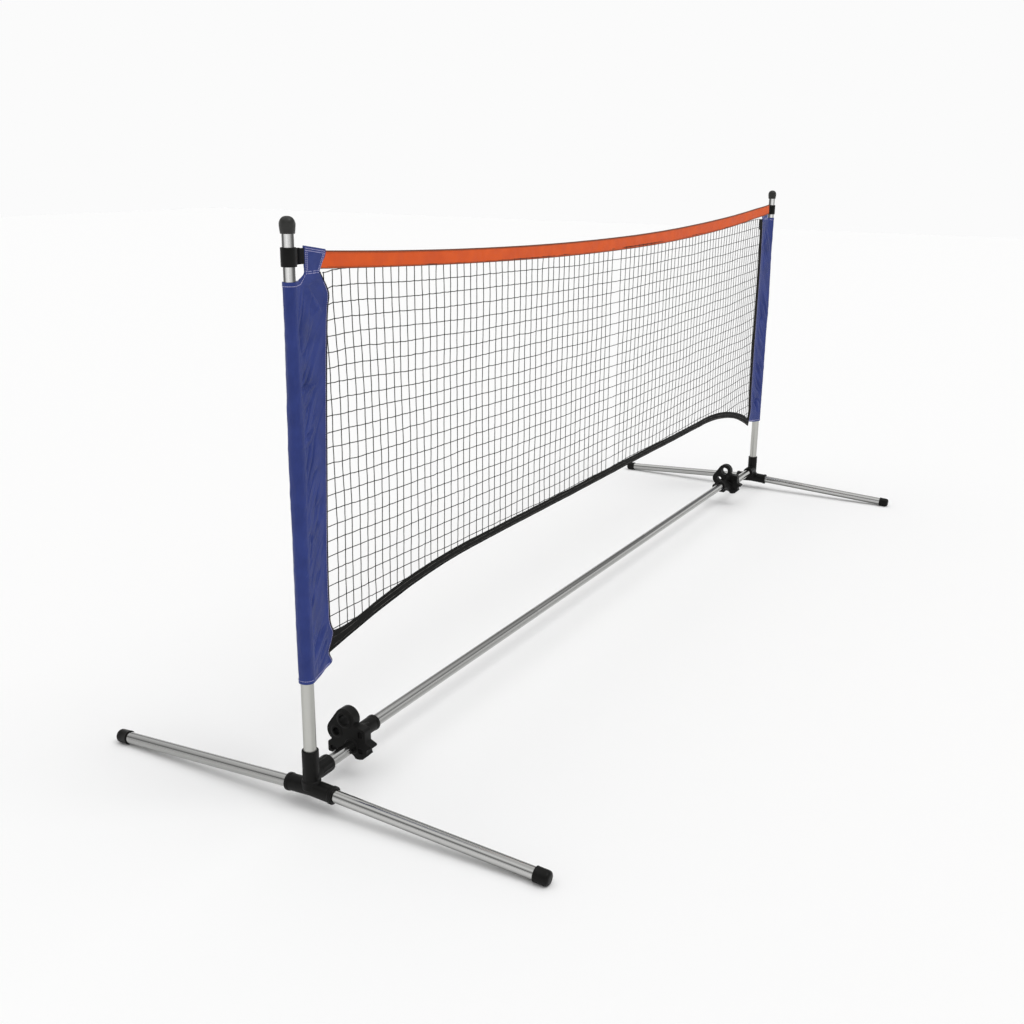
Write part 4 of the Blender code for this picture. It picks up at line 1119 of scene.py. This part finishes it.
def net_point(u, row):
    """A crossing of upright cord u and a row."""
    x = column_place(u)
    near = max(0.0, abs(x) - 1.1) / (NET_HALF - 1.1)
    x += math.copysign(near**2 * 0.020 * math.exp(-(row / 4.5) ** 2), x)
    dip = 0.015 * math.exp(-(NET_HALF - abs(x)) / 0.06) * math.exp(-(row / 5.0) ** 2)
    loose = min(row, 1.0)
    z = row_height(row, x) - dip
    z += loose * (0.005 * ripple(u * 0.13, row * 0.35, 1.0) + 0.0024 * ripple(u * 0.9, row * 0.9, 8.0))
    x += loose * (0.0028 * ripple(u * 0.9, row * 0.5, 5.0) + 0.006 * ripple(u * 0.7, row * 0.08, 15.0))
    y = 0.004 * ripple(u * 0.09, row * 0.16, 12.0) + band_sway(x, 2.0) * (1 - row / 25)
    return Vector((x, y, z))


def cord_tube(path, points, faces):
    """A cord along a path, added to the lists."""
    base, sides = len(points), 5
    for i, point in enumerate(path):
        along = (path[min(i + 1, len(path) - 1)] - path[max(i - 1, 0)]).normalized()
        across = along.cross(Vector((0, -1, 0))).normalized()
        out = across.cross(along)
        for k in range(sides):
            turn = math.tau * k / sides
            points.append(point + (across * math.cos(turn) + out * math.sin(turn)) * CORD_R)
    for i in range(len(path) - 1):
        for k in range(sides):
            n, a = (k + 1) % sides, base + i * sides
            faces.append((a + k, a + n, a + sides + n, a + sides + k))
    faces.append(tuple(base + k for k in range(sides))[::-1])
    faces.append(tuple(base + (len(path) - 1) * sides + k for k in range(sides)))


def row_tube(path, points, faces):
    """A row's cord, run on into the tape at an end that it comes near."""
    for sign, at in ((-1, 0), (1, -1)):
        if sign * path[at].x > NET_HALF - 0.12:
            end = path[at].copy()
            end.x = net_edge(sign, end.z)
            path.insert(0 if sign < 0 else len(path), end)
    if len(path) > 1:
        cord_tube(path, points, faces)


def net_columns():
    """The numbers of the upright cords between the two sleeves."""
    columns = []
    for sign in (-1, 1):
        u = 0 if sign > 0 else -1
        while abs(column_place(u)) < abs(net_edge(sign, 1.0)) - 0.012:
            columns.append(u)
            u += sign
    return sorted(columns)


def band_top(point):
    """The height of the bottom band's upper edge below a point."""
    return bottom_edge(point.x) + bottom_width(point.x)


def build_net():
    points, faces, knots = [], [], []
    columns = net_columns()
    for u in columns:
        crossings = [net_point(u, row) for row in range(ROWS)]
        crossings = [point for point in crossings if abs(point.x) < abs(net_edge(point.x, point.z)) - 0.004]
        path = []
        for a, b in zip(crossings, crossings[1:] + [None]):
            floor = band_top(a) - 0.004
            if a.z < floor:
                break
            path.append(a)
            knots.append(a)
            if b is None:
                break
            if b.z < floor:
                path.append(a.lerp(b, (a.z - floor) / (a.z - b.z)))
                break
            path.append(a.lerp(b, 0.5) + Vector((0.0007 * math.sin(u * 7.1 + a.z * 90), 0, 0)))
        if len(path) > 1:
            cord_tube(path, points, faces)
    for row in range(ROWS):
        path = []
        for u in columns:
            a = net_point(u, row)
            inside = abs(a.x) < abs(net_edge(a.x, a.z)) - 0.003
            if a.z > band_top(a) - 0.002 and inside:
                if path:
                    sag = 0.0008 + 0.0005 * math.sin(u * 5.7 + row)
                    path.append(path[-1].lerp(a, 0.5) - Vector((0, 0, sag)))
                path.append(a)
            elif path and inside:
                path.append(path[-1].lerp(a, 0.6))
                row_tube(path, points, faces)
                path = []
        if path:
            row_tube(path, points, faces)
    for middle in knots:
        base = len(points)
        for offset in ((1, 0, 0), (-1, 0, 0), (0, 1, 0), (0, -1, 0), (0, 0, 1), (0, 0, -1)):
            points.append(middle + Vector(offset) * KNOT_R)
        faces += [(base + a, base + b, base + c) for a in (0, 1) for b in (2, 3) for c in (4, 5)]
    mesh = outward(mesh_of(points, faces))
    return piece("net_knotted", mesh, CORD, "left_mast", ["net"], sharp=80)


def binding_mesh(side):
    """The black tape at the net's end, folded over the free edge of the sleeve's panel."""
    rings, uvs = [], []
    for z in spaced(0.425, 1.540, 240):
        reach = panel_edge(side, z)
        wide = BINDING[side] + (0.012 if side == "right" and z > 1.487 else 0.0)
        swing = folds(side, reach, z) * 0.8
        inner, outer = reach - 0.0022, reach + wide
        across = [(inner, -1), (inner + 0.0015, -1.0), (outer - 0.001, -0.7), (outer, -0.3), (outer, 0.3),
                  (outer - 0.001, 0.7), (inner + 0.0015, 1.0), (inner, 1)]
        ring = []
        for x, face in across:
            ease = 1.0 - 0.6 * max(0.0, (x - reach) / max(wide, 0.001))
            y = face * TAPE_THICK * (0.62 if x > reach + 0.002 else 0.8) + swing * ease
            ring.append(Vector((SIDES[side] * (HALF_SPAN - x), y, z)))
            uvs.append((x, z))
        rings.append(ring)
    return outward(rings_mesh(rings, caps=True, uvs=uvs))


# Light, floor and camera

# The studio's brightness by height, from straight below to straight above
SKY = ((0.0, 0.965), (0.27, 0.965), (0.34, 0.22), (0.50, 0.30), (0.66, 0.75), (0.80, 1.18), (1.0, 1.18))
FOCAL_LENGTH = 40.677
CAMERA_PLACE = Vector((-4.40611, -1.96906, 1.82726))
CAMERA_RIGHT = Vector((0.48817, -0.87267, 0.01134))
CAMERA_FORWARD = Vector((0.83673, 0.46429, -0.29037))


def build_stage():
    scene = bpy.context.scene
    half = 30
    corners = [(-half, -half, 0), (half, -half, 0), (half, half, 0), (-half, half, 0)]
    floor_mesh = mesh_of(corners, [(0, 1, 2, 3)])
    floor = bpy.data.objects.new("floor", floor_mesh)
    floor.location.z = -0.0005
    scene.collection.objects.link(floor)
    white = material("floor_white", (0.955, 0.955, 0.953), 0.9, 0.0, Specular_IOR_Level=0.0)[0]
    floor_mesh.materials.append(white)

    sun = bpy.data.lights.new("key", "SUN")
    sun.energy = 0.62
    sun.angle = math.radians(28)
    key = bpy.data.objects.new("key", sun)
    key.rotation_euler = Vector((0.10, -0.56, 1.0)).to_track_quat("Z", "Y").to_euler()
    scene.collection.objects.link(key)

    world = bpy.data.worlds.new("studio")
    scene.world = world
    world.use_nodes = True
    tree = world.node_tree
    tree.nodes.clear()
    ramp = tree.nodes.new("ShaderNodeValToRGB")
    while len(ramp.color_ramp.elements) < len(SKY):
        ramp.color_ramp.elements.new(0.5)
    for element, (place, value) in zip(ramp.color_ramp.elements, SKY):
        element.position = place
        element.color = (value, value, value, 1)
    rise = added(tree, "SeparateXYZ", {"Vector": coordinates(tree, "Generated")})["Z"]
    tree.links.new(rise, ramp.inputs["Fac"])
    lit = added(tree, "Background", {"Color": ramp.outputs["Color"]})["Background"]
    added(tree, "OutputWorld", {"Surface": lit})


def build_camera():
    """The photograph's view."""
    lens = bpy.data.cameras.new("camera")
    lens.lens = FOCAL_LENGTH
    lens.clip_end = 200
    camera = bpy.data.objects.new("camera", lens)
    right, forward = CAMERA_RIGHT.normalized(), CAMERA_FORWARD.normalized()
    up = right.cross(forward).normalized()
    right = forward.cross(up).normalized()
    turn = Matrix((right, up, -forward)).transposed().to_4x4()
    camera.matrix_world = Matrix.Translation(CAMERA_PLACE) @ turn
    bpy.context.scene.collection.objects.link(camera)
    bpy.context.scene.camera = camera


build_stage()
build_camera()
for side in SIDES:
    build_tubes(side)
    build_sleeve(side)
build_bar()
build_mouldings()
build_bands()

bpy.context.scene.view_settings.view_transform = "Standard"
